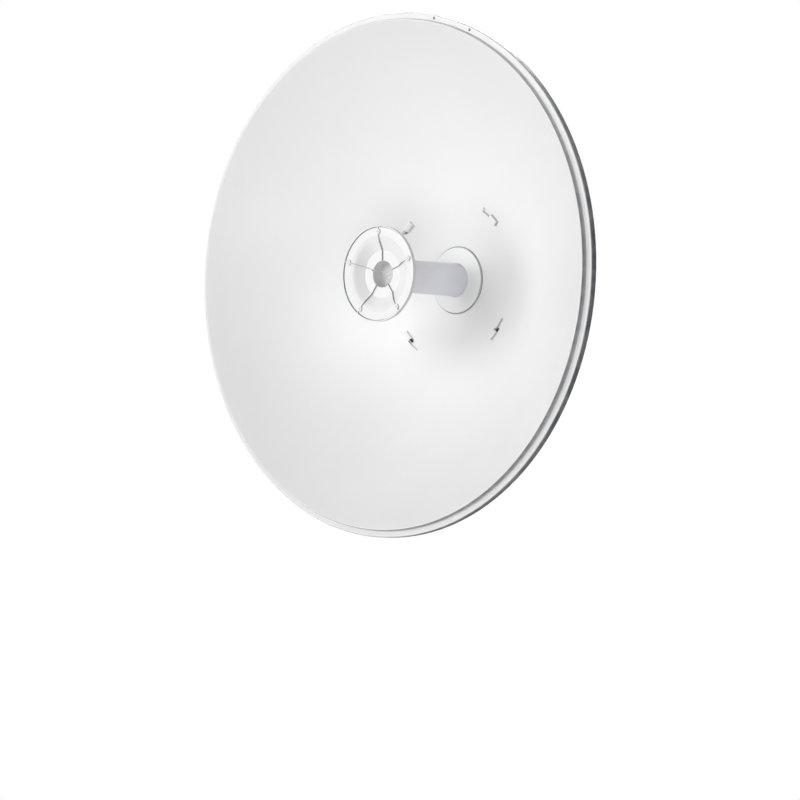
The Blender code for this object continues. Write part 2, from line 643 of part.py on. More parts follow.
def build_foot_bolts(material, parent):
    grip = PLATE_THICKNESS + FIT_GAP + STEEL
    for label, side_x, side_z in CORNERS:
        location = (side_x * FOOT_BOLT_X, PLATE_FRONT_Y, side_z * FOOT_BOLT_Z)
        add_hex_bolt("foot_bolt_" + label, material, parent, location, FRAME_XZ, grip)


def build_side_bolts(material, parent):
    grip = 2.0 * STEEL + FIT_GAP
    for label, side in SIDES:
        frame = axes_frame((0, 1, 0), (0, 0, 1), (-side, 0, 0))
        face = side * (CHEEK_INNER_X + STEEL)
        for kind, z in (("pivot_bolt_", PIVOT_Z), ("lock_bolt_", PIVOT_Z + LOCK_RADIUS)):
            add_hex_bolt(kind + label, material, parent, (face, PIVOT_Y, z), frame, grip)


# The bracket's section: a web that bears on the pole and two wings between the cheeks
def channel_outline():
    outer = CHEEK_INNER_X - FIT_GAP
    inner = outer - STEEL
    web_front = MOUNT_DEPTH - BRACKET_WEB
    fold = BRACKET_FOLD
    inner_fold = BRACKET_FOLD - STEEL
    quarter = math.pi / 2.0
    outline = [(outer, BRACKET_FRONT_Y)]
    outline += arc_points((outer - fold, MOUNT_DEPTH - fold), fold, 0.0, quarter, OUTER_FOLD_STEPS)
    outline += arc_points((fold - outer, MOUNT_DEPTH - fold), fold, quarter, math.pi, OUTER_FOLD_STEPS)
    outline += [(-outer, BRACKET_FRONT_Y), (-inner, BRACKET_FRONT_Y)]
    corner_x = inner - inner_fold
    corner_y = web_front - inner_fold
    outline += arc_points((-corner_x, corner_y), inner_fold, math.pi, quarter, INNER_FOLD_STEPS)
    outline += arc_points((corner_x, corner_y), inner_fold, quarter, 0.0, INNER_FOLD_STEPS)
    outline += [(inner, BRACKET_FRONT_Y)]
    return outline


def build_pole_bracket(material, parent):
    bm = bmesh.new()
    extrude_outline(bm, channel_outline(), -BRACKET_HALF_HEIGHT, BRACKET_HALF_HEIGHT, FRAME_XY)
    bracket = add_object("pole_bracket", bm, material, parent)
    holes = bmesh.new()
    web_front = MOUNT_DEPTH - BRACKET_WEB
    for _, side_x, side_z in CORNERS:
        outline = circle_outline((side_x * CLAMP_BOLT_X, side_z * CLAMP_BOLT_Z), HOLE_RADIUS)
        extrude_outline(holes, outline, web_front - CUT_OVERRUN, MOUNT_DEPTH + CUT_OVERRUN, FRAME_XZ)
    wing_out = CHEEK_INNER_X + CUT_OVERRUN
    wing_in = CHEEK_INNER_X - STEEL - 2.0 * CUT_OVERRUN
    for z in (PIVOT_Z, PIVOT_Z + LOCK_RADIUS):
        outline = circle_outline((PIVOT_Y, z), HOLE_RADIUS)
        extrude_outline(holes, outline, wing_in, wing_out, FRAME_YZ)
        extrude_outline(holes, outline, -wing_out, -wing_in, FRAME_YZ)
    add_boolean(bracket, add_cutter("bracket_holes", holes, material, parent), "DIFFERENCE")


# A bent strip whose V takes the pole
def jaw_outline():
    flank = math.hypot(JAW_RISE, JAW_V_HALF_WIDTH)
    lean = JAW_THICKNESS * (flank - JAW_RISE) / JAW_V_HALF_WIDTH
    tip = JAW_THICKNESS * flank / JAW_V_HALF_WIDTH
    rear = JAW_FLAT_Y + JAW_THICKNESS
    return [(JAW_HALF_WIDTH, JAW_FLAT_Y), (JAW_V_HALF_WIDTH, JAW_FLAT_Y), (0.0, JAW_FLAT_Y + JAW_RISE),
            (-JAW_V_HALF_WIDTH, JAW_FLAT_Y), (-JAW_HALF_WIDTH, JAW_FLAT_Y),
            (-JAW_HALF_WIDTH, rear), (-JAW_V_HALF_WIDTH - lean, rear), (0.0, JAW_FLAT_Y + JAW_RISE + tip),
            (JAW_V_HALF_WIDTH + lean, rear), (JAW_HALF_WIDTH, rear)]


def build_pole_clamp(name, centre_z, material, parent):
    location = (0.0, 0.0, centre_z)
    bm = bmesh.new()
    extrude_outline(bm, jaw_outline(), -0.5 * JAW_HEIGHT, 0.5 * JAW_HEIGHT, FRAME_XY)
    clamp = add_object(name, bm, material, parent, location)
    holes = bmesh.new()
    rear = JAW_FLAT_Y + JAW_THICKNESS
    for x in (-CLAMP_BOLT_X, CLAMP_BOLT_X):
        outline = circle_outline((x, 0.0), HOLE_RADIUS)
        extrude_outline(holes, outline, JAW_FLAT_Y - CUT_OVERRUN, rear + CUT_OVERRUN, FRAME_XZ)
    add_boolean(clamp, add_cutter(name + "_holes", holes, material, parent, location), "DIFFERENCE")


# A round-headed bolt from inside the bracket to a washer and nut behind the jaw
def build_clamp_bolts(material, parent):
    head = MOUNT_DEPTH - BRACKET_WEB - FIT_GAP
    washer = JAW_FLAT_Y + JAW_THICKNESS + FIT_GAP
    nut = washer + WASHER_THICKNESS
    steps = ((head - HEAD_HEIGHT, ROUND_HEAD_TOP, "round"),
             (head - ROUND_HEAD_BAND, ROUND_HEAD_SHOULDER, "round"),
             (head, ROUND_HEAD_RADIUS, "round"), (head, BOLT_RADIUS, "round"), (washer, BOLT_RADIUS, "round"),
             (washer, WASHER_RADIUS, "round"), (nut, WASHER_RADIUS, "round"),
             (nut, HEX_HALF_FLATS, "hex"), (nut + NUT_HEIGHT, HEX_HALF_FLATS, "hex"),
             (nut + NUT_HEIGHT, BOLT_RADIUS, "round"), (CLAMP_BOLT_END_Y, BOLT_RADIUS, "round"))
    for label, side_x, side_z in CORNERS:
        bm = bmesh.new()
        join_sections(bm, stepped_sections(steps, FRAME_XZ))
        location = (side_x * CLAMP_BOLT_X, 0.0, side_z * CLAMP_BOLT_Z)
        add_object("clamp_bolt_" + label, bm, material, parent, location)


def main():
    clear_scene()
    white_paint = make_material("white_paint", (0.86, 0.86, 0.87), 0.38, 0.0)
    white_plastic = make_material("white_plastic", (0.88, 0.88, 0.88), 0.42, 0.0)
    grey_plastic = make_material("grey_plastic", (0.62, 0.62, 0.66), 0.45, 0.0)
    galvanised = make_material("galvanised_steel", (0.58, 0.60, 0.61), 0.45, 0.9)
    bolt_steel = make_material("bolt_steel", (0.66, 0.66, 0.67), 0.32, 1.0)
    brass = make_material("plated_brass", (0.78, 0.72, 0.55), 0.28, 1.0)

    axis = bpy.data.objects.new("dish_axis", None)
    bpy.context.collection.objects.link(axis)
    axis.location = (0.0, -MOUNT_DEPTH, 0.0)

    build_reflector(white_paint, axis)
    build_hub_disc(white_paint, axis)
    build_feed_tube(grey_plastic, axis)
    build_feed_cap(white_plastic, axis)
    build_feed_cone(white_plastic, axis)
    build_feed_rear(grey_plastic, brass, axis)
    build_support_ring(galvanised, axis)
    build_back_plate(white_paint, axis)
    for label, side in SIDES:
        build_cheek("cheek_" + label, side, galvanised, axis)
    build_foot_bolts(bolt_steel, axis)
    build_side_bolts(bolt_steel, axis)
    build_pole_bracket(galvanised, axis)
    build_pole_clamp("pole_clamp_upper", CLAMP_BOLT_Z, galvanised, axis)
    build_pole_clamp("pole_clamp_lower", -CLAMP_BOLT_Z, galvanised, axis)
    build_clamp_bolts(bolt_steel, axis)


main()
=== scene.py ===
import math

import bmesh
import bpy
import numpy as np
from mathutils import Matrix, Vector


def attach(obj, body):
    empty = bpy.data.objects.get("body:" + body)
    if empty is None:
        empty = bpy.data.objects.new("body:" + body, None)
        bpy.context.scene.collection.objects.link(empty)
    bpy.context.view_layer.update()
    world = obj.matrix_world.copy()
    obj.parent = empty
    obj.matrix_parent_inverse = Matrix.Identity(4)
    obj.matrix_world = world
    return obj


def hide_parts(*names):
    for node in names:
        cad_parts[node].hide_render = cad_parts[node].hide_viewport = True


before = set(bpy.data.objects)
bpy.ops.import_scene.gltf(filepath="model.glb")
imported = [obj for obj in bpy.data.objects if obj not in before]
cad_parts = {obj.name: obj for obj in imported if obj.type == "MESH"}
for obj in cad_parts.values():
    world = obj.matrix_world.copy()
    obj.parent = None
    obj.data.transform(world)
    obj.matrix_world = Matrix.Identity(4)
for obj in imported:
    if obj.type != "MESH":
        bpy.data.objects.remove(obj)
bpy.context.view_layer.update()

mm = 0.001
tau = 2 * math.pi
quarter = math.pi / 2
samePoint = 1e-7  # two places nearer than this are one
lipY = -262.0  # mm, the plane of the rim's flat lip; every depth below is counted backwards from it
scene = bpy.context.scene
scene.view_settings.view_transform = "Standard"


# Quads between neighbouring points of a rows x cols grid, joined end to start where wrapped
def gridQuads(rows, cols, wrapRows=False, wrapCols=False):
    i, j = np.meshgrid(np.arange(rows - (not wrapRows)), np.arange(cols - (not wrapCols)), indexing="ij")
    iNext, jNext = (i + 1) % rows, (j + 1) % cols
    quads = (i * cols + j, i * cols + jNext, iNext * cols + jNext, iNext * cols + j)
    return np.stack(quads, axis=-1).reshape(-1, 4)


def shadeMesh(mesh, sharpDegrees=32):
    mesh.shade_smooth()
    mesh.set_sharp_from_angle(angle=math.radians(sharpDegrees))
    return mesh


# Closes seams and poles; closed shells are turned to face outwards
def finishMesh(mesh, sharpDegrees=32, outwards=True, merge=0.002 * mm):
    bm = bmesh.new()
    bm.from_mesh(mesh)
    bmesh.ops.remove_doubles(bm, verts=bm.verts, dist=merge)
    if outwards:
        bmesh.ops.recalc_face_normals(bm, faces=bm.faces)
    bm.to_mesh(mesh)
    bm.free()
    return shadeMesh(mesh, sharpDegrees)


# One mesh from several (points, faces) grids, with the painted shade's strength at each point if given
def meshFromParts(parts, sharpDegrees=32, outwards=True, film=None):
    points = [grid.reshape(-1, 3) for grid, _ in parts]
    firsts = np.cumsum([0] + [len(grid) for grid in points])
    quads = [faces + first for (_, faces), first in zip(parts, firsts)]
    mesh = bpy.data.meshes.new("piece")
    mesh.from_pydata(np.concatenate(points).tolist(), [], np.concatenate(quads).tolist())
    if film is not None:
        mesh.attributes.new("film", "FLOAT", "POINT").data.foreach_set("value", film.ravel())
    return finishMesh(mesh, sharpDegrees, outwards)


# The mesh that a new object comes to with its modifiers; the object itself goes
def evaluatedMesh(holder):
    scene.collection.objects.link(holder)
    bpy.context.view_layer.update()
    made = bpy.data.meshes.new_from_object(holder.evaluated_get(bpy.context.evaluated_depsgraph_get()))
    bpy.data.objects.remove(holder)
    return made


def meshPoints(mesh):
    flat = np.empty(len(mesh.vertices) * 3)
    mesh.vertices.foreach_get("co", flat)
    return flat.reshape(-1, 3)


def addPiece(name, mesh, material, slot, *nodes):
    mesh.name = name
    mesh.materials.append(material)
    piece = bpy.data.objects.new(name, mesh)
    scene.collection.objects.link(piece)
    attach(piece, "root")
    if nodes:
        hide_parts(*nodes)
    return piece


# Rounds the corners of a line: each corner gives way to an arc tangent to both of its sides,
# which leaves them at radius / tan(half the angle between the sides), but within the side
def roundCorners(corners, radii, steps=6, closed=True, mostOfSide=0.48):
    corners = np.asarray(corners, float)
    radii = np.broadcast_to(np.asarray(radii, float), len(corners)).copy()
    if not closed:
        radii[0] = radii[-1] = 0
    toBefore = np.roll(corners, 1, axis=0) - corners
    toAfter = np.roll(corners, -1, axis=0) - corners
    lengthBefore = np.linalg.norm(toBefore, axis=1)
    lengthAfter = np.linalg.norm(toAfter, axis=1)
    toBefore /= lengthBefore[:, None]
    toAfter /= lengthAfter[:, None]
    between = np.arccos(np.clip((toBefore * toAfter).sum(axis=1), -1, 1))
    between = np.clip(between, 0.02, math.pi - 0.001)  # neither folded flat nor quite straight
    reach = np.minimum(radii / np.tan(between / 2), mostOfSide * np.minimum(lengthBefore, lengthAfter))
    middle = toBefore + toAfter
    middle /= np.maximum(np.linalg.norm(middle, axis=1), samePoint)[:, None]
    centre = corners + middle * (reach / np.cos(between / 2))[:, None]
    first = corners + toBefore * reach[:, None] - centre
    last = corners + toAfter * reach[:, None] - centre
    turn = (math.pi - between)[:, None, None]
    share = np.linspace(0, 1, steps + 1)[None, :, None]
    arcs = np.sin((1 - share) * turn) * first[:, None] + np.sin(share * turn) * last[:, None]
    points = (centre[:, None] + arcs / np.sin(turn)).reshape(-1, 2)
    keep = np.linalg.norm(points - np.roll(points, 1, axis=0), axis=1) > samePoint
    keep[0] = True
    return points[keep]


def arc(centre, radius, start, end, count):
    angle = np.linspace(start, end, count)
    return np.column_stack((centre[0] + radius * np.cos(angle), centre[1] + radius * np.sin(angle)))


def circle(centre, radius, count=40):
    return arc(centre, radius, 0, tau, count + 1)[:-1]


# The directions that move the points of an open line sideways by one unit and keep its sides
# parallel: the mean of the two sides' normals, over the cosine of half the turn
def sideways(line):
    step = np.diff(line, axis=0)
    normal = np.column_stack((step[:, 1], -step[:, 0])) / np.linalg.norm(step, axis=1)[:, None]
    before = np.concatenate((normal[:1], normal))
    mitre = before + np.concatenate((normal, normal[-1:]))
    mitre /= np.linalg.norm(mitre, axis=1)[:, None]
    return mitre / (mitre * before).sum(axis=1)[:, None]


# The directions away from the dish's axis and along its circle, at an angle
def outAndAlong(degrees):
    c, s = math.cos(math.radians(degrees)), math.sin(math.radians(degrees))
    return np.array((c, 0, s)), np.array((-s, 0, c))


# A turned surface: an outline of (radius, depth) carried round the dish's axis,
# x = radius cos angle, y = lip plane + depth, z = radius sin angle. Flutes take
# flute depth * (1 - cos(count * angle)) / 2 off the radius outside their foot.
def turned(outline, count, flutes=0, fluteDepth=1.0, fluteFoot=math.inf):
    angle = np.linspace(0, tau, count, endpoint=False)
    radius, depth = np.asarray(outline, float).T[:, :, None]
    share = np.clip((radius - fluteFoot) / fluteDepth, 0, 1)
    radius = radius - fluteDepth * share * (1 - np.cos(flutes * angle)) / 2
    points = (radius * np.cos(angle), lipY + depth + 0 * radius, radius * np.sin(angle))
    onAxis = outline[0][0] < samePoint
    return np.stack(points, axis=-1) * mm, gridQuads(len(radius), count, wrapRows=not onAxis, wrapCols=True)


def addTurned(name, outline, count, *dress, **flutes):
    addPiece(name, meshFromParts([turned(outline, count, **flutes)]), *dress)


# A node with its settings, and its sockets by name or by number: a value or another socket
def addNode(tree, kind, settings=None, **sockets):
    node = tree.nodes.new("ShaderNode" + kind)
    for key, value in (settings or {}).items():
        setattr(node, key, value)
    for key, value in sockets.items():
        socket = node.inputs[int(key[2:]) if key.startswith("in") else key.replace("_", " ")]
        if isinstance(value, bpy.types.NodeSocket):
            tree.links.new(value, socket)
        else:
            socket.default_value = value
    return node


def calculate(tree, operation, first, second=0.0):
    return addNode(tree, "Math", {"operation": operation}, in0=first, in1=second).outputs[0]


def stretch(tree, vector, factors):
    return addNode(tree, "VectorMath", {"operation": "MULTIPLY"}, in0=vector, in1=factors).outputs[0]


def partAlong(tree, vector, axis):
    return addNode(tree, "SeparateXYZ", Vector=vector).outputs[axis]


# A value carried from one range to another, evenly or with soft ends, and held at its ends
def spread(tree, value, given, wanted, soft=False):
    settings = {"interpolation_type": "SMOOTHSTEP" if soft else "LINEAR"}
    return addNode(tree, "MapRange", settings, Value=value, From_Min=given[0], From_Max=given[1],
                   To_Min=wanted[0], To_Max=wanted[1]).outputs[0]


def noise(tree, place, scale, detail, roughness=0.5):
    return addNode(tree, "TexNoise", Vector=place, Scale=scale, Detail=detail, Roughness=roughness).outputs[0]


# A node group takes a place and some values, and gives one value
def openGroup(name, *values):
    tree = bpy.data.node_groups.new(name, "ShaderNodeTree")
    for given, kind in [("Vector", "Vector")] + [(value, "Float") for value in values]:
        tree.interface.new_socket(name=given, in_out="INPUT", socket_type="NodeSocket" + kind)
    return tree, tree.nodes.new("NodeGroupInput").outputs


def closeGroup(tree, name, value):
    tree.interface.new_socket(name=name, in_out="OUTPUT", socket_type="NodeSocketFloat")
    tree.links.new(value, tree.nodes.new("NodeGroupOutput").inputs[name])
    return tree


# Fine relief: a noise and a share of the same noise at a finer scale
def makeGrain(fineShare=0.3, finer=4.0):
    tree, given = openGroup("surfaceGrain", "Scale")
    broad = noise(tree, given["Vector"], given["Scale"], 2.0)
    fine = noise(tree, given["Vector"], calculate(tree, "MULTIPLY", given["Scale"], finer), 1.0)
    both = addNode(tree, "Mix", {"data_type": "FLOAT"}, in0=fineShare, in2=broad, in3=fine)
    return closeGroup(tree, "Height", both.outputs[0])


# A value that drifts slowly between low and high over the surface
def makeDrift(cloudRange=(0.3, 0.7)):
    tree, given = openGroup("toneDrift", "Scale", "Low", "High")
    cloud = noise(tree, given["Vector"], given["Scale"], 3.0)
    value = spread(tree, cloud, cloudRange, (given["Low"], given["High"]), soft=True)
    return closeGroup(tree, "Value", value)


# A ring-shaped band of painted shade round the dish's axis: 1 on the ring and 0 at its width, by the distance
# |square root of (x^2 + z^2) - ring|, broken up by noise
def makeShadeRing(patchScale=60.0, patchRange=(0.2, 0.6), patchShares=(0.6, 1.0)):
    tree, given = openGroup("creaseFilm", "Ring", "Width")
    flat = stretch(tree, given["Vector"], (1, 0, 1))
    radius = addNode(tree, "VectorMath", {"operation": "LENGTH"}, in0=flat).outputs["Value"]
    away = calculate(tree, "ABSOLUTE", calculate(tree, "SUBTRACT", radius, given["Ring"]))
    near = spread(tree, away, (given["Width"], 0.0), (0.0, 1.0), soft=True)
    broken = spread(tree, noise(tree, given["Vector"], patchScale, 2.0), patchRange, patchShares)
    return closeGroup(tree, "Mask", calculate(tree, "MULTIPLY", near, broken))


# Dust that settles where the surface looks up: noise times the upward part of the normal
def makeDust(upRange=(0.1, 1.0), patchScale=140.0, patchRange=(0.35, 0.75), patchShares=(0.2, 1.0)):
    tree, given = openGroup("settledDust", "Amount")
    normal = addNode(tree, "NewGeometry").outputs["Normal"]
    up = spread(tree, partAlong(tree, normal, "Z"), upRange, (0.0, 1.0), soft=True)
    patch = spread(tree, noise(tree, given["Vector"], patchScale, 6.0, 0.65), patchRange, patchShares)
    mask = calculate(tree, "MULTIPLY", up, patch)
    return closeGroup(tree, "Mask", calculate(tree, "MULTIPLY", mask, given["Amount"]))


# Rubs from handling: noise drawn out along one direction, only its peaks kept
def makeRub(drawn=(1.0, 0.25, 3.0), peaks=(0.52, 0.72)):
    tree, given = openGroup("handlingRub", "Scale")
    streak = noise(tree, stretch(tree, given["Vector"], drawn), given["Scale"], 8.0, 0.7)
    return closeGroup(tree, "Mask", spread(tree, streak, peaks, (0.0, 1.0), soft=True))


grain, drift, crease, dust, rub = makeGrain(), makeDrift(), makeShadeRing(), makeDust(), makeRub()


def useGroup(tree, group, place, **values):
    return addNode(tree, "Group", {"node_tree": group}, Vector=place, **values).outputs[0]


def newMaterial(name, **constants):
    material = bpy.data.materials.new(name)
    material.use_nodes = True
    tree = material.node_tree
    shader = tree.nodes["Principled BSDF"]
    for key, value in constants.items():
        shader.inputs[key].default_value = value
    return material, tree, shader, addNode(tree, "TexCoord").outputs["Object"]


# Either color is a tone or a socket
def mixColors(tree, amount, first, second):
    first, second = [(*tone, 1) if isinstance(tone, tuple) else tone for tone in (first, second)]
    return addNode(tree, "Mix", {"data_type": "RGBA"}, in0=amount, in6=first, in7=second).outputs[2]


# Joins colour, gloss and a relief of grain to the shader
def finishSurface(tree, shader, place, color, gloss, grainScale, relief, distance=0.1 * mm):
    height = useGroup(tree, grain, place, Scale=grainScale)
    bump = addNode(tree, "Bump", Strength=relief, Distance=distance, Height=height)
    for name, socket in (("Base Color", color), ("Roughness", gloss), ("Normal", bump.outputs[0])):
        tree.links.new(socket, shader.inputs[name])


coatPaintedLightAndDust = {
    "washedHeights": (0.02, 0.26),  # m above the dish's centre: painted light makes the colour paler and thins the painted shade from here, and fully from there
    "filmShares": (1.0, 0.2),  # how much of the plain tone and of the painted shade stays at those heights
    "toneScale": 7.0,
    "glossScale": 31.0,
    # the paler tone painted high up, a painted light
    "washedTone": (0.9, 0.9, 0.9),
    "dustTone": (0.52, 0.49, 0.44),
}
# painted shade: the near-black tone laid in grooves, along folds, round holes and on sides facing away from
# the lamps
paintedShadeTone = (0.13, 0.13, 0.14)


# Paint and plastics: the colour drifts between two near tones and is painted paler high up, a
# painted light; it takes painted shade where the normal's part along an axis grows from one value to
# another, in rings that are thinner high up, and along folds, and it takes real dust on top; the gloss
# drifts too, and the relief is fine grain
def coatedMaterial(name, tones, gloss, grainScale, relief, rings=(), dustAmount=0.12, foldFilm=0.0,
                   paintedSideShade=None):
    w = coatPaintedLightAndDust
    material, tree, shader, place = newMaterial(name)
    tone = useGroup(tree, drift, place, Scale=w["toneScale"], Low=0.0, High=1.0)
    # painted light by height: the colour turns paler high up and the painted shade thins there
    share = spread(tree, partAlong(tree, place, "Z"), w["washedHeights"], w["filmShares"])
    color = mixColors(tree, share, w["washedTone"], mixColors(tree, tone, *tones))
    # painted shade on the sides whose normal points along an axis
    if paintedSideShade:
        axis, unshaded, full, amount = paintedSideShade
        normal = addNode(tree, "NewGeometry").outputs["Normal"]
        mask = spread(tree, partAlong(tree, normal, axis), (unshaded, full), (0.0, amount))
        color = mixColors(tree, mask, color, paintedShadeTone)
    # rings of painted shade
    for ring, width, film in rings:
        mask = useGroup(tree, crease, place, Ring=ring * mm, Width=width * mm)
        color = mixColors(tree, calculate(tree, "MULTIPLY", mask, share), color, film)
    # painted shade along folds, from the mesh's point attribute
    if foldFilm:
        folds = addNode(tree, "Attribute", {"attribute_name": "film"}).outputs["Fac"]
        color = mixColors(tree, calculate(tree, "MULTIPLY", folds, foldFilm), color, paintedShadeTone)
    color = mixColors(tree, useGroup(tree, dust, place, Amount=dustAmount), color, w["dustTone"])
    shine = useGroup(tree, drift, place, Scale=w["glossScale"], Low=gloss[0], High=gloss[1])
    finishSurface(tree, shader, place, color, shine, grainScale, relief)
    return material


zinc = {
    "metallic": 0.65,
    "wanderScale": 60.0,
    "wander": (0.006, 0.006, 0.006),  # m that noise shifts the crystals' borders by
    "crystalScale": 210.0,
    "tones": ((0.56, 0.575, 0.59), (0.76, 0.77, 0.775)),
    "rubTone": (0.8, 0.8, 0.79),
    "dustTone": (0.48, 0.45, 0.4),
    "gloss": (0.34, 0.56),
}


# Hot-dip galvanising: crystals of slightly different grey and gloss, rubbed brighter in places
def galvanisedMaterial():
    z = zinc
    material, tree, shader, place = newMaterial("galvanisedSteel", Metallic=z["metallic"])
    wander = addNode(tree, "TexNoise", Vector=place, Scale=z["wanderScale"], Detail=2.0).outputs["Color"]
    bent = addNode(tree, "VectorMath", {"operation": "MULTIPLY_ADD"}, in0=wander, in1=z["wander"], in2=place)
    crystal = addNode(tree, "TexVoronoi", Vector=bent.outputs[0], Scale=z["crystalScale"])
    value = addNode(tree, "SeparateColor", Color=crystal.outputs["Color"])
    color = mixColors(tree, value.outputs[0], *z["tones"])
    color = mixColors(tree, useGroup(tree, rub, place, Scale=90.0), color, z["rubTone"])
    color = mixColors(tree, useGroup(tree, dust, place, Amount=0.3), color, z["dustTone"])
    gloss = spread(tree, value.outputs[1], (0.0, 1.0), z["gloss"])
    finishSurface(tree, shader, place, color, gloss, grainScale=420.0, relief=0.18)
    return material


# Plated metal: a bright film that drifts between two tones, duller where it is rubbed
def platedMaterial(name, tones, gloss, dustTone=(0.35, 0.32, 0.28)):
    material, tree, shader, place = newMaterial(name, Metallic=1.0)
    tone = useGroup(tree, drift, place, Scale=120.0, Low=0.0, High=1.0)
    color = mixColors(tree, tone, *tones)
    color = mixColors(tree, useGroup(tree, dust, place, Amount=0.3), color, dustTone)
    shine = spread(tree, useGroup(tree, rub, place, Scale=300.0), (0.0, 1.0), gloss)
    finishSurface(tree, shader, place, color, shine, grainScale=1500.0, relief=0.1, distance=0.05 * mm)
    return material


tubeCoat = {
    "tones": ((0.885, 0.875, 0.925), (0.925, 0.915, 0.96)),
    "hubTone": (0.71, 0.722, 0.77),
    "fadeDepths": (12.0, 114.0),  # mm behind the lip's plane, where the change begins and ends
    "gloss": (0.38, 0.48),
}


# The tube's plastic is painted paler, lavender white, towards the head, a painted light against the head's
# shadow, and turns bluish grey at the hub
def tubeMaterial():
    t = tubeCoat
    material, tree, shader, place = newMaterial("tubePlastic")
    tone = useGroup(tree, drift, place, Scale=22.0, Low=0.0, High=1.0)
    ends = [(lipY + depth) * mm for depth in t["fadeDepths"]]
    near = spread(tree, partAlong(tree, place, "Y"), ends, (0.0, 1.0))
    # painted light: paler tones at the head end, where the head's shadow falls on the tube
    color = mixColors(tree, near, mixColors(tree, tone, *t["tones"]), t["hubTone"])
    color = mixColors(tree, useGroup(tree, dust, place, Amount=0.08), color, coatPaintedLightAndDust["dustTone"])
    shine = useGroup(tree, drift, place, Scale=45.0, Low=t["gloss"][0], High=t["gloss"][1])
    finishSurface(tree, shader, place, color, shine, grainScale=1700.0, relief=0.08)
    return material


hubRing = 42.0  # mm, the hub disc's edge and the groove pressed round it
capTones = ((0.89, 0.89, 0.89), (0.915, 0.915, 0.915))
coats = {  # a ring has its radius and width in mm and its tone, mostly of painted shade; the painted side shade has its axis, the normal's part where it is still unshaded, where it is full, and its amount
    "dishPaint": {
        "tones": ((0.835, 0.835, 0.838), (0.86, 0.86, 0.86)),
        "gloss": (0.34, 0.44),
        "grainScale": 820.0,
        "relief": 0.10,
        "rings": (
            # painted shade in the groove round the hub disc and on the disc's edge
            (hubRing, 1.15, paintedShadeTone),
            (320.9, 3.0, (0.73, 0.73, 0.738)),  # painted shade on the lip
            (316.4, 1.1, (0.29, 0.29, 0.3)),  # painted shade at the step's foot
            (325.2, 1.4, (0.17, 0.18, 0.2)),  # painted shade on the rim's edge, which faces away from the lamps
        ),
        "dustAmount": 0.06,
        # painted shade along the lances' folds
        "foldFilm": 0.55,
    },
    "platePaint": {
        "tones": ((0.80, 0.80, 0.80), (0.85, 0.85, 0.845)),
        "gloss": (0.36, 0.5),
        "grainScale": 820.0,
        "relief": 0.14,
        "dustAmount": 0.25,
    },
    # painted shade: the hooks are coated near black so that they read as dark cuts in the lances
    "hookCoat": {
        "tones": ((0.03, 0.03, 0.032), (0.05, 0.05, 0.052)),
        "gloss": (0.55, 0.7),
        "grainScale": 900.0,
        "relief": 0.2,
    },
    "capPlastic": {
        "tones": capTones,
        "gloss": (0.36, 0.46),
        "grainScale": 1900.0,
        "relief": 0.07,
        "rings": (
            (16.3, 0.55, (0.72, 0.72, 0.735)),  # painted shade at the well's edge
            (45.8, 3.7, (0.9, 0.9, 0.9)),  # pale, holds the painted side shade off the recess's outer edge
            (57.75, 0.7, paintedShadeTone),  # painted shade in the groove inside the lip
        ),
        # painted shade on the recess's walls whose normal points to +X, away from the lamps on the left
        "paintedSideShade": ("X", 0.08, 0.4, 0.24),
    },
    # painted shade: a darker grey for the disc on the well's floor, standing in for the well's shade
    "wellShadePlastic": {
        "tones": ((0.55, 0.55, 0.565), (0.60, 0.60, 0.615)),
        "gloss": (0.4, 0.5),
        "grainScale": 1900.0,
        "relief": 0.08,
    },
    "ribPlastic": {
        "tones": capTones,
        "gloss": (0.36, 0.46),
        "grainScale": 1900.0,
        "relief": 0.07,
        "rings": ((8.0, 11.0, (0.58, 0.58, 0.595)),),  # painted shade where the ribs lie on the well's floor
        # painted shade on the ribs' and bosses' sides, whose normals turn away from -Y, the front
        "paintedSideShade": ("Y", -0.75, -0.25, 0.75),
    },
    "greyPlastic": {
        "tones": ((0.50, 0.50, 0.53), (0.56, 0.56, 0.59)),
        "gloss": (0.42, 0.55),
        "grainScale": 1500.0,
        "relief": 0.12,
        "dustAmount": 0.25,
    },
}
made = [coatedMaterial(name, **values) for name, values in coats.items()]
dishPaint, platePaint, hookCoat, capPlastic, wellShadePlastic, ribPlastic, greyPlastic = made
tubePlastic = tubeMaterial()
steelZinc = galvanisedMaterial()
boltZinc = platedMaterial("boltZinc", tones=((0.66, 0.68, 0.71), (0.74, 0.72, 0.66)), gloss=(0.26, 0.46))
jackBrass = platedMaterial("jackBrass", tones=((0.78, 0.68, 0.44), (0.83, 0.76, 0.58)), gloss=(0.2, 0.36))
print("materials made")

dish = {  # lengths in mm
    "lipRadius": 325.0,
    "sheet": 1.0,
    "vertexDepth": 125.9,
    "focalLength": 186.5,
    "bowlEdge": 314.3,
    "crestFold": 1.4,
    "wallDegrees": 86.0,
    "stepFoot": 316.9,
    "footFold": 0.7,
    "lipFold": 2.0,
    "flangeDepth": 8.6,
    "innerRows": (21.2, 28.0, 35.0, 40.0),  # radii of rows from the centre hole outwards
    "grooveDepth": 0.7,
    "grooveWidth": 0.38,
    "grooveRows": (0.35, 0.7, 1.1, 1.6, 2.2, 3.2),  # rows on each side of its middle, in widths
    "grooveGap": 2.0,  # from its last row to the bowl's next
    "ringStep": 7.0,
    "columnDegrees": 2.4,
    "holeCircle": 320.8,
    "holeDegrees": (66.0, 77.0),
    "holeRadius": 0.8,
    "holePatch": (0.55, 1.1, 1.55, 2.0),  # half sides of the squares round a lip hole
    "holeSquare": 1.1,  # the one of them that becomes the hole's edge
    "patchGap": 0.3,  # degrees
    # painted shade round each lip hole, over 1 so that it is full
    "holeFilm": 1.8,
}
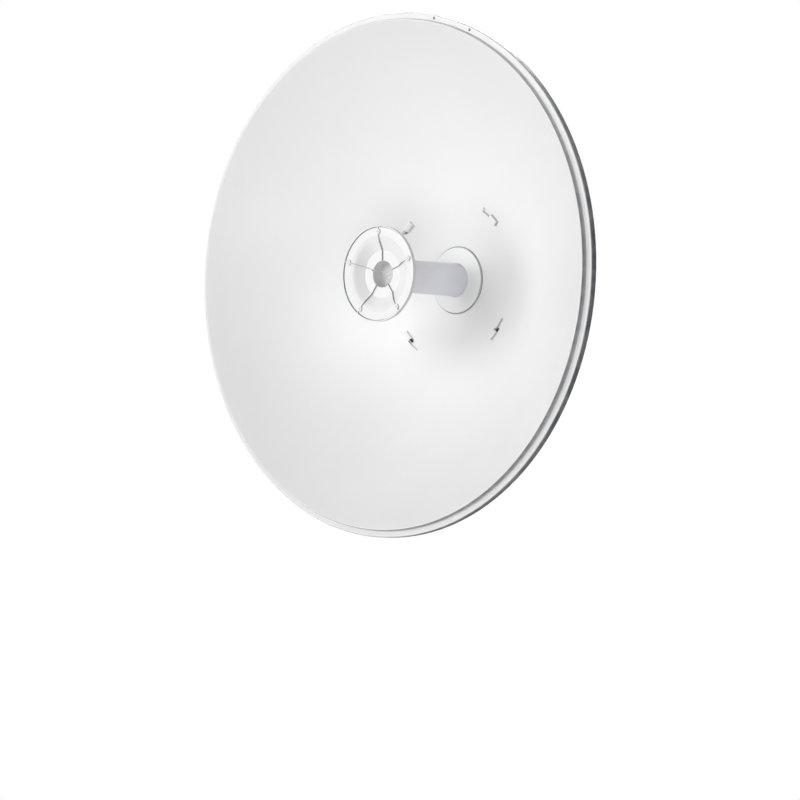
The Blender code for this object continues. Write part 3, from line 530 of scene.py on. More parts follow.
lance = {
    "circle": 100.5,
    "degrees": (48.4, 139.0, 226.8, 318.4),  # where each bridge ends and its strap begins
    "bridgeLength": 13.4,
    "bridgeEnd": 2.6,
    "bridgeHalfWidth": 3.8,
    "bridgeHeight": 4.0,
    "bridgePower": 3.2,
    "strapLength": 17.3,
    "strapHalfWidth": 3.6,
    "strapDepth": 2.8,
    "strapWall": 0.9,
    "wallRows": (1.0, 0.8, 0.6, 0.4, 0.2),  # shares of the wall
    "rowsBeside": (4.3, 5.0, 6.2),
    "columnsBefore": (1.6, 0.5),
    "reach": 6.5,  # no row further out than this is pressed
    # painted shade along each lance's folds: its share at each lance, and its width
    "filmShares": (1.0, 0.0, 0.15, 0.9),
    "filmWidth": 0.5,
}
lanceSlope = lance["circle"] / (2 * dish["focalLength"])
lanceSteep = math.hypot(1, lanceSlope)


# Depth of the paraboloid: the vertex depth less radius squared over four focal lengths
def bowlDepth(radius):
    return dish["vertexDepth"] - np.square(radius) / (4 * dish["focalLength"])


# 0 at the first edge, 1 at the second, and 3t^2 - 2t^3 between them
def smoothStep(low, high, value):
    t = np.clip((value - low) / (high - low), 0, 1)
    return t * t * (3 - 2 * t)


# Shares of a half width at which a superellipse is traced evenly, cos(t)^(2 / power)
def traceShares(power, count, least=0.008):
    shares = np.abs(np.cos(np.linspace(0, quarter, count))) ** (2 / power)
    return shares[np.concatenate(([True], -np.diff(shares) > least))]


# Rows across a lance, as distances from its middle line
def lanceRows(least=0.03):
    bridge = lance["bridgeHalfWidth"] * traceShares(lance["bridgePower"], 13)
    strap = lance["strapHalfWidth"] - lance["strapWall"] * np.array(lance["wallRows"])
    across = np.concatenate((bridge, strap, lance["rowsBeside"]))
    across = np.unique(np.round(np.concatenate((across, -across)), 3))
    return across[np.concatenate(([True], np.diff(across) > least))]


# The sheet's visible face in section: the bowl, the crest that folds over at its edge, the
# step's wall, the flat lip and the flange turned back, as (radius, depth) rows
def dishSection(holeRows):
    d = dish
    pressed = lance["circle"] + lanceRows() / lanceSteep
    half = np.array(d["grooveRows"]) * d["grooveWidth"]
    groove = hubRing + np.concatenate((-half[::-1], [0], half))
    innerRings = int((pressed[0] - groove[-1]) / d["ringStep"])
    outerRings = int((d["bowlEdge"] - pressed[-1]) / d["ringStep"]) + 1
    inner = np.linspace(groove[-1] + d["grooveGap"], pressed[0], innerRings)
    outer = np.linspace(pressed[-1], d["bowlEdge"], outerRings)
    radius = np.concatenate((d["innerRows"], groove, inner[:-1], pressed, outer[1:-1]))
    bowl = np.column_stack((radius, bowlDepth(radius)))
    slope = math.atan(-d["bowlEdge"] / (2 * d["focalLength"]))
    wall = math.radians(d["wallDegrees"])
    crestCentre = (d["bowlEdge"] - d["crestFold"] * math.sin(slope),
                   bowlDepth(d["bowlEdge"]) + d["crestFold"] * math.cos(slope))
    crest = arc(crestCentre, d["crestFold"], slope - quarter, wall - quarter, 9)
    foot = arc((d["stepFoot"] + d["footFold"], -d["footFold"]), d["footFold"], wall + quarter, quarter, 5)
    holeBand = np.column_stack((d["holeCircle"] + holeRows, 0 * holeRows))
    lip = arc((d["lipRadius"] - d["lipFold"], d["lipFold"]), d["lipFold"], -quarter, 0, 8)
    return np.concatenate((bowl, crest, foot, holeBand, lip, [(d["lipRadius"], d["flangeDepth"])]))


# Distances along a lance at which the sheet gets a column; the cut between the bridge and
# the strap has two columns at the same place, one for each of its edges
def lanceColumns():
    l = lance
    before = np.array(l["columnsBefore"])
    end = -l["bridgeLength"] + l["bridgeEnd"] * (1 - traceShares(l["bridgePower"], 11))
    bridge = np.concatenate((end[0] - before, end, np.linspace(end[-1], 0, 8)[1:]))
    wall = l["strapLength"] - l["strapWall"] * np.linspace(1, 0, 6)
    strap = np.concatenate((np.linspace(0, wall[0], 11)[:-1], wall, wall[-1] + before[::-1]))
    return bridge, strap


# How far a point of the bowl is pressed forwards. The bridge is a superellipse across,
# height * (1 - |across / half width|^power)^(1 / power), and the same at its closed end. The
# strap is a flat floor pressed back, with steep walls at its sides and its closed end.
def lanceHeight(along, across, onBridge):
    l = lance
    power = l["bridgePower"]
    arch = np.clip(1 - np.abs(across / l["bridgeHalfWidth"]) ** power, 0, 1) ** (1 / power)
    fromEnd = np.clip((-l["bridgeLength"] + l["bridgeEnd"] - along) / l["bridgeEnd"], 0, 1)
    bridge = l["bridgeHeight"] * arch * (1 - fromEnd ** power) ** (1 / power)
    side = smoothStep(l["strapHalfWidth"], l["strapHalfWidth"] - l["strapWall"], np.abs(across))
    end = smoothStep(l["strapLength"], l["strapLength"] - l["strapWall"], along)
    return np.where(onBridge, bridge, -l["strapDepth"] * side * end)


# The sheet's columns: their angles, their distances along a lance, and their kind, which is 1
# on a bridge, 2 on a strap and 0 elsewhere
def dishColumns(holeColumns):
    bridge, strap = lanceColumns()
    degreesPerMm = 360 / (tau * lance["circle"])
    angles, along, kind = [], [], []
    following = np.roll(lance["degrees"], -1) + [0, 0, 0, 360]
    for middle, coming in zip(lance["degrees"], following):
        last, first = middle + strap[-1] * degreesPerMm, coming + bridge[0] * degreesPerMm
        gap = np.linspace(last, first, int((first - last) / dish["columnDegrees"]) + 1)[1:-1]
        for hole in dish["holeDegrees"]:
            if last < hole < first:
                band = hole + holeColumns * 360 / (tau * dish["holeCircle"])
                gap = gap[(gap < band[0] - dish["patchGap"]) | (gap > band[-1] + dish["patchGap"])]
                gap = np.sort(np.concatenate((gap, band)))
        angles += [middle + bridge * degreesPerMm, middle + strap * degreesPerMm, gap]
        along += [bridge, strap, np.full(len(gap), math.inf)]
        kind += [np.full(len(bridge), 1), np.full(len(strap), 2), np.zeros(len(gap), int)]
    return np.radians(np.concatenate(angles)), np.concatenate(along), np.concatenate(kind)


# Points on concentric squares are moved out to circles near the hole, and left as they are
# at the edge of the patch
def squareToCircle(p, q, radius, inner, outer):
    size = np.maximum(np.abs(p), np.abs(q))
    length = np.maximum(np.hypot(p, q), samePoint)
    share = np.clip((outer - size) / (outer - inner), 0, 1)
    scale = np.where(size < outer + samePoint, 1 + share * (size / inner * radius / length - 1), 1)
    return p * scale, q * scale


# Painted shade on a lance's folds: exp(-((|across| - edge) / width)^2) along its two sides, and the same
# over the bridge's closed end
def lanceFoldShade(along, across, kind, slack=0.1):
    l = lance
    edge = np.where(kind == 1, l["bridgeHalfWidth"], l["strapHalfWidth"] - l["strapWall"] / 2)
    inside = (along > -l["bridgeLength"] - slack) & (along < l["strapLength"])
    sides = np.exp(-np.square((np.abs(across) - edge) / l["filmWidth"])) * inside
    closedEnd = np.exp(-np.square((along + l["bridgeLength"]) / l["filmWidth"]))
    return np.maximum(sides, closedEnd * (np.abs(across) < edge) * (kind == 1))


# The bowl is pressed along its own normal by the lances' height, and back by the groove round
# the hub, depth * exp(-((radius - ring) / width)^2)
def dishSheet(slack=0.01):
    d = dish
    patch = np.array(d["holePatch"])
    patch = np.concatenate((-patch[::-1], [0], patch))
    section = dishSection(patch)
    angle, along, kind = dishColumns(patch)
    nearest = np.abs((np.degrees(angle)[:, None] - lance["degrees"] + 180) % 360 - 180).argmin(axis=1)
    share = np.take(lance["filmShares"], nearest)
    radius = np.repeat(section[:, :1], len(angle), axis=1)
    depth = np.repeat(section[:, 1:], len(angle), axis=1)
    angle = np.repeat(angle[None], len(section), axis=0)
    across = (radius - lance["circle"]) * lanceSteep
    onLance = (np.abs(across) < lance["reach"]) & (kind > 0)
    height = np.where(onLance, lanceHeight(along[None], across, kind[None] == 1), 0)
    # painted shade along the lances' folds, with each lance's own share
    film = np.where(onLance, lanceFoldShade(along[None], across, kind[None]) * share, 0)
    groove = d["grooveDepth"] * np.exp(-np.square((radius - hubRing) / d["grooveWidth"]))
    radius = radius - height * lanceSlope / lanceSteep
    depth = depth - height / lanceSteep + groove
    inHole = np.zeros(radius.shape, bool)
    nearHole = inHole.copy()
    for hole in d["holeDegrees"]:
        p = (angle - math.radians(hole)) * d["holeCircle"]
        q = section[:, :1] - d["holeCircle"]
        size = np.maximum(np.abs(p), np.abs(q))
        onPatch = (size < patch[-1] + slack) & (section[:, 1:] == 0)
        p, q = squareToCircle(p, q + 0 * p, d["holeRadius"], d["holeSquare"], patch[-1])
        angle = np.where(onPatch, math.radians(hole) + p / d["holeCircle"], angle)
        radius = np.where(onPatch, d["holeCircle"] + q, radius)
        inHole |= onPatch & (size < d["holeSquare"] + slack)
        nearHole |= onPatch & (size < patch[-2] + slack)
    rows, cols = radius.shape
    points = np.stack((radius * np.cos(angle), lipY + depth, radius * np.sin(angle)), axis=-1) * mm
    quads = gridQuads(rows, cols, wrapCols=True)
    isCut = (kind == 1) & (np.roll(kind, -1) == 2)
    keep = ~isCut[quads[:, 0] % cols] & ~inHole.ravel()[quads].all(axis=1)
    facingFront = quads[keep][:, ::-1]
    # full painted shade round the lip's holes, so that they read dark
    return points, facingFront, np.where(nearHole, d["holeFilm"], film)


# The face gets its thickness behind it
def thicken(mesh, thickness):
    holder = bpy.data.objects.new("sheetFace", mesh)
    solid = holder.modifiers.new("sheet", "SOLIDIFY")
    solid.thickness = thickness
    solid.offset = -1
    solid.use_even_offset = True
    solid.thickness_clamp = 0
    return shadeMesh(evaluatedMesh(holder))


# the sheet carries its painted shade to the material as a point attribute
points, quads, film = dishSheet()
sheet = thicken(meshFromParts([(points, quads)], outwards=False, film=film), dish["sheet"] * mm)
addPiece("dishSheet", sheet, dishPaint, "white_paint", "reflector")
print("dish sheet:", len(sheet.polygons), "faces")

hub = {
    "radius": 41.3,
    "edgeDepth": 121.5,
    "edgeThickness": 1.0,
    "crestDepth": 119.6,
    "collar": 1.2,
    "collarDrop": 0.8,
    "inner": 20.9,
    "seat": 36.0,
    "seatFlare": (1.5, 0.2),
    "sheetGaps": (0.35, 0.4),  # at the seat's outer and inner edges
    "rounding": (0.2, 0.6, 0.3, 0.2, 0.3, 0.2, 0.1),
    "columns": 160,
}


# The disc stands on a seat inside its rim, so a dark gap shows under the rim
def hubOutline():
    h = hub
    under = h["edgeDepth"] + h["edgeThickness"]
    wide, drop = h["seatFlare"]
    corners = [(h["inner"], h["crestDepth"] - h["collarDrop"]), (h["inner"] + h["collar"], h["crestDepth"]),
               (h["radius"], h["edgeDepth"]), (h["radius"], under), (h["seat"] + wide, under + drop)]
    for radius, gap in zip((h["seat"], h["inner"]), h["sheetGaps"]):
        corners.append((radius, bowlDepth(radius) - gap))
    return roundCorners(corners, h["rounding"], 5)


addTurned("hubDisc", hubOutline(), hub["columns"], dishPaint, "white_paint", "hub_disc")

tube = {"radius": 20.6, "front": 1.8, "rear": 150.0, "rounding": (0, 0.6, 0.2, 0), "columns": 160}
tubeSide = [(radius, tube[end]) for radius, end in
            ((0, "front"), (tube["radius"], "front"), (tube["radius"], "rear"), (0, "rear"))]
tubeSide = roundCorners(tubeSide, tube["rounding"], 5, closed=False)
addTurned("feedTube", tubeSide, tube["columns"], tubePlastic, "grey_plastic", "feed_tube")

head = {
    "radius": 59.6,
    "faceDepth": -22.6,
    "lipHeight": 1.6,
    "lipWidth": 1.6,
    "lipGroove": (0.6, 0.5, 0.2),  # width, depth, and depth at the lip's foot
    "lipDraft": 0.1,
    "wall": 1.6,
    "sideLean": 0.45,  # of the wall
    "recess": ((47.5, 0.0), (41.4, 2.2), (29.5, 7.9)),  # radius and drop of the cone's three edges
    "wellRadius": 16.5,
    "wellDepth": -0.7,
    "wellDraft": 0.4,
    "wellShadeDisc": (0.25, 0.3, 0.1),  # above the floor, below it, and in from the well's wall
    "discRounding": (0, 0.2, 0.1, 0),
    "discColumns": 96,
    "capRounding": (0, 0.5, 0.6, 1.6, 2.0, 1.6, 0.2, 0.15, 0.2, 0.3, 0.4, 0.2, 0.3, 1.0, 1.0, 0.5, 0.5, 0),
    "capColumns": 200,
    "coneGap": 0.3,
    "coneRear": (24.5, 9.0),
    "coneBand": 1.2,
    "coneSocket": 20.9,
    "coneRounding": (0.25, 0.3, 1.0, 1.0, 0.4, 0.3, 0.2, 0.3, 1.2, 0.4),
    "coneColumns": 160,
}
rib = {
    "count": 5,
    "halfWidth": 0.65,
    "height": 1.5,
    "extra": 0.9,
    "inWell": 0.35,
    "inWall": -0.3,
    "wallBand": (0.2, 0.3),  # inside the well's wall and outside it
    "foot": -0.5,
    "power": 8,
    "start": 2.2,
    "overlap": 0.9,
    "rounding": (0, 0.5, 0.5, 1.2, 1.6, 1.4, 0),
    "columns": 13,
}
boss = {
    "circle": 52.0,
    "radius": 3.5,
    "height": 1.5,
    "dimple": (1.1, 0.6),  # its radius and depth
    "root": 0.8,
    "rounding": (0, 0.15, 0.2, 0.4, 0.1, 0),
    "columns": 36,
}


# The cap's visible face from the middle of the well to the lip's outer edge
def capFace():
    h = head
    face = h["faceDepth"]
    (outer, _), (breakRadius, breakDrop), (inner, drop) = h["recess"]
    foot, top = h["radius"] - h["lipWidth"], face - h["lipHeight"]
    well = [(0, h["wellDepth"]), (h["wellRadius"] - h["wellDraft"], h["wellDepth"])]
    cone = [(h["wellRadius"], face + drop), (inner, face + drop),
            (breakRadius, face + breakDrop), (outer, face)]
    wide, deep, atFoot = h["lipGroove"]
    groove = [(foot - wide, face), (foot - wide / 2, face + deep), (foot, face + atFoot)]
    return well + cone + groove + [(foot + h["lipDraft"], top), (h["radius"], top)]


# The cap's back from its rim to the well's wall, or the cone's front, a gap further back
def capBack(gap):
    h = head
    wall = h["wall"] + gap
    side = h["sideLean"] * h["wall"]
    edges = [(radius + side, h["faceDepth"] + wall + drop) for radius, drop in h["recess"]]
    return [(h["radius"], h["faceDepth"] + wall)] + edges + [(h["wellRadius"] + wall, edges[-1][1])]


def capOutline():
    h = head
    floor = h["wellDepth"] + h["wall"]
    back = capBack(0) + [(h["wellRadius"] + h["wall"], floor), (0, floor)]
    return roundCorners(capFace() + back, h["capRounding"], 6, closed=False)


def coneOutline():
    h = head
    front = capBack(h["coneGap"])
    socket, rear = tube["front"] - h["coneGap"], h["coneRear"]
    corners = front + [(front[-1][0], socket), (h["coneSocket"], socket), (h["coneSocket"], rear[1]), rear,
                       (front[0][0], front[0][1] + h["coneBand"])]
    return roundCorners(corners, h["coneRounding"], 5)


# A rib: a flat-topped section carried along the cap's face. The section's height above the
# face is height * (1 - (across / half width)^power)^(1/2), where the height grows inside the
# recess, falls on the well's floor and is sunk in its wall, and its foot is sunk all along.
def capRib(degrees):
    r, h = rib, head
    path = np.array(capFace()[:7])
    path[0, 0] = r["start"]
    path[-1, 0] += r["overlap"]
    path = roundCorners(path, r["rounding"], 4, closed=False)
    place = path[:, :1]
    across = r["halfWidth"] * np.sin(np.radians(np.linspace(-90, 90, r["columns"])))
    height = r["height"] + r["extra"] * smoothStep(h["recess"][0][0], h["recess"][1][0], place)
    inside, outside = r["wallBand"]
    height = np.where(place < h["wellRadius"] + outside, r["inWall"], height)
    height = np.where(place < h["wellRadius"] - h["wellDraft"] - inside, r["inWell"], height)
    rise = height * np.sqrt(np.clip(1 - np.power(np.abs(across) / r["halfWidth"], r["power"]), 0, 1))
    foot = np.full((len(path), 1), r["foot"])
    rise = np.concatenate((foot, rise, foot), axis=1)
    across = np.concatenate((across[:1], across, across[-1:]))
    rows = path[:, None] + sideways(path)[:, None] * rise[..., None]
    out, side = outAndAlong(degrees)
    points = rows[..., :1] * out + across[None, :, None] * side + rows[..., 1:] * np.array((0, 1, 0))
    ends = points[[0, -1]].mean(axis=1, keepdims=True) + 0 * points[:1]
    points = (np.concatenate((ends[:1], points, ends[1:])) + (0, lipY, 0)) * mm
    return points, gridQuads(len(points), len(across), wrapCols=True)


# A screw boss: a dimpled disc with a rounded rim, turned about its own axis on the cap's face
def capBoss(degrees):
    b = boss
    top, root = head["faceDepth"] - b["height"], head["faceDepth"] + b["root"]
    dimple, deep = b["dimple"]
    corners = [(0, top + deep), (dimple, top + deep), (dimple, top),
               (b["radius"], top), (b["radius"], root), (0, root)]
    points, quads = turned(roundCorners(corners, b["rounding"], 4, closed=False), b["columns"])
    return points + b["circle"] * mm * outAndAlong(degrees)[0], quads


def discOutline():
    above, below, inset = head["wellShadeDisc"]
    radius, floor = head["wellRadius"] - head["wellDraft"] - inset, head["wellDepth"]
    corners = [(0, floor - above), (radius, floor - above), (radius, floor + below), (0, floor + below)]
    return roundCorners(corners, head["discRounding"], 4, closed=False)


ribAngles = 90 + 360 / rib["count"] * np.arange(rib["count"])
addTurned("feedCap", capOutline(), head["capColumns"], capPlastic, "white_plastic", "feed_cap")
addPiece("capRibs", meshFromParts([capRib(a) for a in ribAngles], 50), ribPlastic, "white_plastic")
addPiece("capBosses", meshFromParts([capBoss(a) for a in ribAngles]), ribPlastic, "white_plastic")
# painted shade: a grey disc on the well's floor, where the well is in shade
addTurned("wellShadeDisc", discOutline(), head["discColumns"], wellShadePlastic, "grey_plastic")
addTurned("feedCone", coneOutline(), head["coneColumns"], capPlastic, "white_plastic", "feed_cone")
print("hub, tube and feed head made")

turnColumns = 48  # columns 7.5 degrees apart, so that one lies on each corner of a hexagon


# A hexagon's radius is half its flats / cos(angle from the nearest flat's middle). Its ends are
# cut by a 30 degree cone, whose radius grows by 1 / tan 30 for each mm from the end.
def hexPart(start, end, halfFlats, coneStart=True, coneEnd=True, faceShare=0.96):
    angle = np.linspace(0, 360, turnColumns, endpoint=False)
    hexagon = halfFlats / np.cos(np.radians((angle + 30) % 60 - 30))
    small, tan30 = faceShare * halfFlats, math.tan(math.radians(30))
    inset = np.linspace(0, (hexagon.max() - small) * tan30, 5)
    grow = small + inset / tan30
    first, firstLimit = (inset, grow) if coneStart else (inset[:1], [math.inf])
    last, lastLimit = (inset[::-1], grow[::-1]) if coneEnd else (inset[:1], [math.inf])
    limit = np.concatenate((firstLimit, lastLimit))
    return np.concatenate((start + first, end - last)), np.minimum(hexagon[None], limit[:, None])


# A round part whose two rims are rounded by quarter circles
def roundPart(start, end, radius, edge=0.0):
    turn = np.radians(np.linspace(0, 90, 5 if edge else 1))
    inset, drop = edge * (1 - np.cos(turn)), edge * (1 - np.sin(turn))
    size = radius - np.concatenate((drop, drop[::-1]))
    return np.concatenate((start + inset, end - inset[::-1])), np.repeat(size[:, None], turnColumns, axis=1)


# A thread: the radius falls by depth * (1 - cos(tau * (place / pitch - turn))) / 2, and its
# end is bevelled
def threadPart(start, end, radius, pitch=1.25, depth=0.6, bevelLength=0.9, bevelDepth=0.7):
    place = np.linspace(start, end, max(int((end - start) / pitch * 6), 4))  # six rows to a turn
    turn = np.linspace(0, 1, turnColumns, endpoint=False)
    wave = (1 - np.cos(tau * (place[:, None] / pitch - turn))) / 2
    bevel = np.clip(1 - (end - place) / bevelLength, 0, 1)[:, None] * bevelDepth
    return place, np.minimum(radius - depth * wave, radius - bevel)


# Rows of (place along the axis, radius at each angle) swept round it; both ends close to a point
def turnedParts(parts, origin, axis):
    place = np.concatenate([part[0] for part in parts])
    radius = np.concatenate([part[1] for part in parts])
    place = np.concatenate((place[:1], place, place[-1:]))
    radius = np.concatenate((0 * radius[:1], radius, 0 * radius[:1]))
    axis, side = np.asarray(axis, float), np.array((0, 0, 1.0))
    angle = np.linspace(0, tau, turnColumns, endpoint=False)
    ring = np.cos(angle)[:, None] * side + np.sin(angle)[:, None] * np.cross(axis, side)
    points = np.asarray(origin, float) + place[:, None, None] * axis + radius[..., None] * ring
    return points * mm, gridQuads(len(place), turnColumns, wrapCols=True)


bolt = {
    "radius": 4.0,
    "hole": 4.3,
    "halfFlats": 6.5,
    "headHeight": 5.0,
    "nutHeight": 6.5,
    "washerRadius": 9.0,
    "washerThickness": 1.6,
    "washerEdge": 0.3,
    "tail": 2.0,
    "inNut": 0.4,  # of the thread
    "gap": 0.3,
    "footPlace": (70.0, 131.0, 55.0),
    "sidePlace": (55.0, 216.0),
    "sideHeights": {"pivot": -45.0, "lock": 37.0},
    "grip": 6.3,
}
plateCorners = (("left_upper", -1, 1), ("right_upper", 1, 1),
                ("left_lower", -1, -1), ("right_lower", 1, -1))


def washer(start):
    return roundPart(start, start + bolt["washerThickness"], bolt["washerRadius"], bolt["washerEdge"])


# A nut and the threaded end that sticks out of it
def nutAndTail(start, tailEnd=None):
    end = start + bolt["nutHeight"]
    tail = threadPart(end - bolt["inNut"], tailEnd or end + bolt["tail"], bolt["radius"])
    return [hexPart(start, end, bolt["halfFlats"]), tail]


# Head, washer, shank, nut and tail; the clamped plates lie from place 0 to the grip
def hexBolt():
    b = bolt
    start = -b["gap"] - b["washerThickness"]
    nut = b["grip"] + b["gap"]
    return [hexPart(start - b["headHeight"], start, b["halfFlats"], True, False), washer(start),
            roundPart(-b["gap"], nut, b["radius"])] + nutAndTail(nut)


clampBolt = {
    "x": 38.0,
    "z": 52.0,
    "seat": 258.5,
    "jaw": 302.3,
    "end": 322.0,
    "headRadius": 8.5,
    "headHeight": 5.0,
    "brim": 0.6,
    "domeDegrees": (8, 90),
    "neck": 6.0,
}


# A domed head, radius = head radius * sin t and height = head height * cos t, on a threaded shank
def carriageBolt():
    c, b = clampBolt, bolt
    turn = np.radians(np.linspace(*c["domeDegrees"], 10))
    brim, neck = c["seat"] - c["brim"], c["seat"] + c["neck"]
    domeSize = np.repeat(c["headRadius"] * np.sin(turn)[:, None], turnColumns, axis=1)
    dome = (brim - (c["headHeight"] - c["brim"]) * np.cos(turn), domeSize)
    return [dome, roundPart(brim, c["seat"], c["headRadius"]), roundPart(c["seat"], neck, b["radius"]),
            threadPart(neck, c["jaw"], b["radius"]), washer(c["jaw"])] + nutAndTail(
                c["jaw"] + b["washerThickness"], c["end"])


def addBolt(name, parts, origin, axis, node):
    addPiece(name, meshFromParts([turnedParts(parts, origin, axis)]), boltZinc, "bolt_steel", node)


for name, sideX, sideZ in plateCorners:
    x, depth, z = bolt["footPlace"]
    origin = (sideX * x, lipY + depth, sideZ * z)
    addBolt("footBolt_" + name, hexBolt(), origin, (0, 1, 0), "foot_bolt_" + name)
for name, side in (("left", -1), ("right", 1)):
    x, depth = bolt["sidePlace"]
    for kind, z in bolt["sideHeights"].items():
        origin = (side * x, lipY + depth, z)
        addBolt(kind + "Bolt_" + name, hexBolt(), origin, (-side, 0, 0), kind + "_bolt_" + name)
for name, sideX, sideZ in plateCorners:
    origin = (sideX * clampBolt["x"], lipY, sideZ * clampBolt["z"])
    addBolt("clampBolt_" + name, carriageBolt(), origin, (0, 1, 0), "clamp_bolt_" + name)
print("bolts made")

lockRing = {
    "inner": 20.9,
    "radius": 36.0,
    "rear": 137.0,
    "shoulder": (3.0, 2.4),
    "rounding": (0.3, 0.5, 1.0, 0.8, 0.4),
    "columns": 240,
    "flutes": {"flutes": 30, "fluteDepth": 1.1, "fluteFoot": 33.4},
}
housing = {
    "inner": 20.9,
    "radius": 27.0,
    "rear": 170.0,
    "sideGroove": ((9.0, 0.0), (9.3, 0.7), (10.3, 0.7), (10.6, 0.0)),  # from the front, and deep
    "endGroove": ((4.0, 0.0), (4.3, 0.5), (5.2, 0.5), (5.5, 0.0)),  # from the side, and deep
    "rounding": (0, 0.2, 0.2, 0.5, 0.2, 0.1, 0.1, 0.2, 1.8, 0.2, 0.1, 0.1, 0.2, 0),
    "columns": 120,
}
jack = {
    "x": 12.5,
    "halfFlats": 7.0,
    "radius": 4.6,
    "length": 17.0,
    "hexagon": (0.1, 4.0),
    "neckEnd": 5.5,
    "neck": 0.4,
    "pitch": 0.9,
    "threadDepth": 0.45,
    "wall": 1.1,
    "bore": 5.0,
    "pin": (5.5, 0.8),  # its ends, from the barrel's end
    "pinRadius": 0.65,
    "pinEdge": 0.3,
}
support = {"inner": 50.0, "outer": 64.0, "rear": 130.7, "edge": 0.8, "columns": 120}


# Depth of the sheet's back: the face's depth plus the sheet measured along the axis
def backDepth(radius):
    return bowlDepth(radius) + dish["sheet"] * math.hypot(1, radius / (2 * dish["focalLength"]))


def makeLockRing():
    r, gap = lockRing, bolt["gap"]
    inner, outer, rear = r["inner"], r["radius"], r["rear"]
    across, back = r["shoulder"]
    ring = [(inner, backDepth(inner) + gap), (inner, rear), (outer - across, rear), (outer, rear - back),
            (outer, backDepth(outer) + gap)]
    ring = roundCorners(ring, r["rounding"], 5)
    dress = (greyPlastic, "grey_plastic", "feed_lock_ring")
    addTurned("feedLockRing", ring, r["columns"], *dress, **r["flutes"])


# The housing has a seam groove round its side and another round its end
def makeHousing():
    r, gap = housing, bolt["gap"]
    inner, front, wide, end = r["inner"], lockRing["rear"] + gap, r["radius"], r["rear"]
    body = [(0, tube["rear"] + gap), (inner, tube["rear"] + gap), (inner, front), (wide, front)]
    body += [(wide - deep, front + place) for place, deep in r["sideGroove"]] + [(wide, end)]
    body += [(wide - place, end - deep) for place, deep in r["endGroove"]] + [(0, end)]
    body = roundCorners(body, r["rounding"], 5, closed=False)
    addTurned("feedHousing", body, r["columns"], greyPlastic, "grey_plastic", "feed_housing")


# A hexagon foot, a threaded barrel bored from its end, and a pin in the bore
def makeJack(name, side):
    j = jack
    length, radius, bore = j["length"], j["radius"], j["radius"] - j["wall"]
    barrel = [hexPart(*j["hexagon"], j["halfFlats"], False, True),
              roundPart(j["hexagon"][1], j["neckEnd"], radius - j["neck"]),
              threadPart(j["neckEnd"], length, radius, j["pitch"], j["threadDepth"]),
              roundPart(length, length, bore), roundPart(length - j["bore"], length - j["bore"], bore)]
    root, tip = j["pin"]
    pin = [roundPart(length - root, length - tip, j["pinRadius"], j["pinEdge"])]
    place = (side * j["x"], lipY + housing["rear"], 0)
    mesh = meshFromParts([turnedParts(barrel, place, (0, 1, 0)), turnedParts(pin, place, (0, 1, 0))])
    addPiece("radioJack_" + name, mesh, jackBrass, "plated_brass", "rf_jack_" + name)


def makeSupportRing():
    s = support
    ring = [(radius, backDepth(radius) + bolt["gap"]) for radius in (s["inner"], s["outer"])]
    ring = roundCorners(ring + [(s["outer"], s["rear"]), (s["inner"], s["rear"])], s["edge"], 5)
    addTurned("supportRing", ring, s["columns"], steelZinc, "galvanised_steel", "support_ring")


makeLockRing()
makeHousing()
makeJack("left", -1)
makeJack("right", 1)
makeSupportRing()
print("feed rear and support ring made")


# A flat plate with holes and rounded edges, in x and y and centred on z = 0
def cutPlate(outline, holes, thickness, edge=0.45):
    curve = bpy.data.curves.new("cutPlate", "CURVE")
    curve.dimensions = "2D"
    curve.fill_mode = "BOTH"
    curve.extrude = (thickness / 2 - edge) * mm
    curve.bevel_depth = edge * mm
    curve.bevel_resolution = 2
    curve.offset = -edge * mm
    for k, line in enumerate([outline] + list(holes)):
        line = np.asarray(line, float) * mm
        area = (line[:, 0] * np.roll(line[:, 1], -1) - np.roll(line[:, 0], -1) * line[:, 1]).sum()
        line = line if (area > 0) == (k == 0) else line[::-1]
        spline = curve.splines.new("POLY")
        spline.points.add(len(line) - 1)
        flat = 0 * line[:, 0]
        spline.points.foreach_set("co", np.column_stack((line, flat, flat + 1)).ravel())
        spline.use_cyclic_u = True
    return finishMesh(evaluatedMesh(bpy.data.objects.new("cutPlate", curve)))


# The outline of a straight strip with rounded corners
def strip(length, halfWidth, corner, steps):
    corners = [(0, -halfWidth), (length, -halfWidth), (length, halfWidth), (0, halfWidth)]
    return roundCorners(corners, corner, steps)


# A path in plan through rounded corners: its points, their distances along it, and the
# directions that stay square to it
def bendPath(line, radius):
    path = roundCorners(line, radius, 8, closed=False)
    along = np.concatenate(([0], np.cumsum(np.linalg.norm(np.diff(path, axis=0), axis=1))))
    return path, along, sideways(path)


# The distance along a path of its point nearest to a point in plan
def alongPath(bend, point):
    path, along, _ = bend
    step = np.diff(path, axis=0)
    share = np.clip(((np.asarray(point) - path[:-1]) * step).sum(axis=1) / (step ** 2).sum(axis=1), 0, 1)
    nearest = np.linalg.norm(path[:-1] + step * share[:, None] - point, axis=1).argmin()
    return along[nearest] + share[nearest] * (along[nearest + 1] - along[nearest])


# Bolt holes in the flat plate, from their points in plan on its bent path and their heights
def boltHoles(bend, places):
    return [circle((alongPath(bend, point), height), bolt["hole"]) for point, height in places]


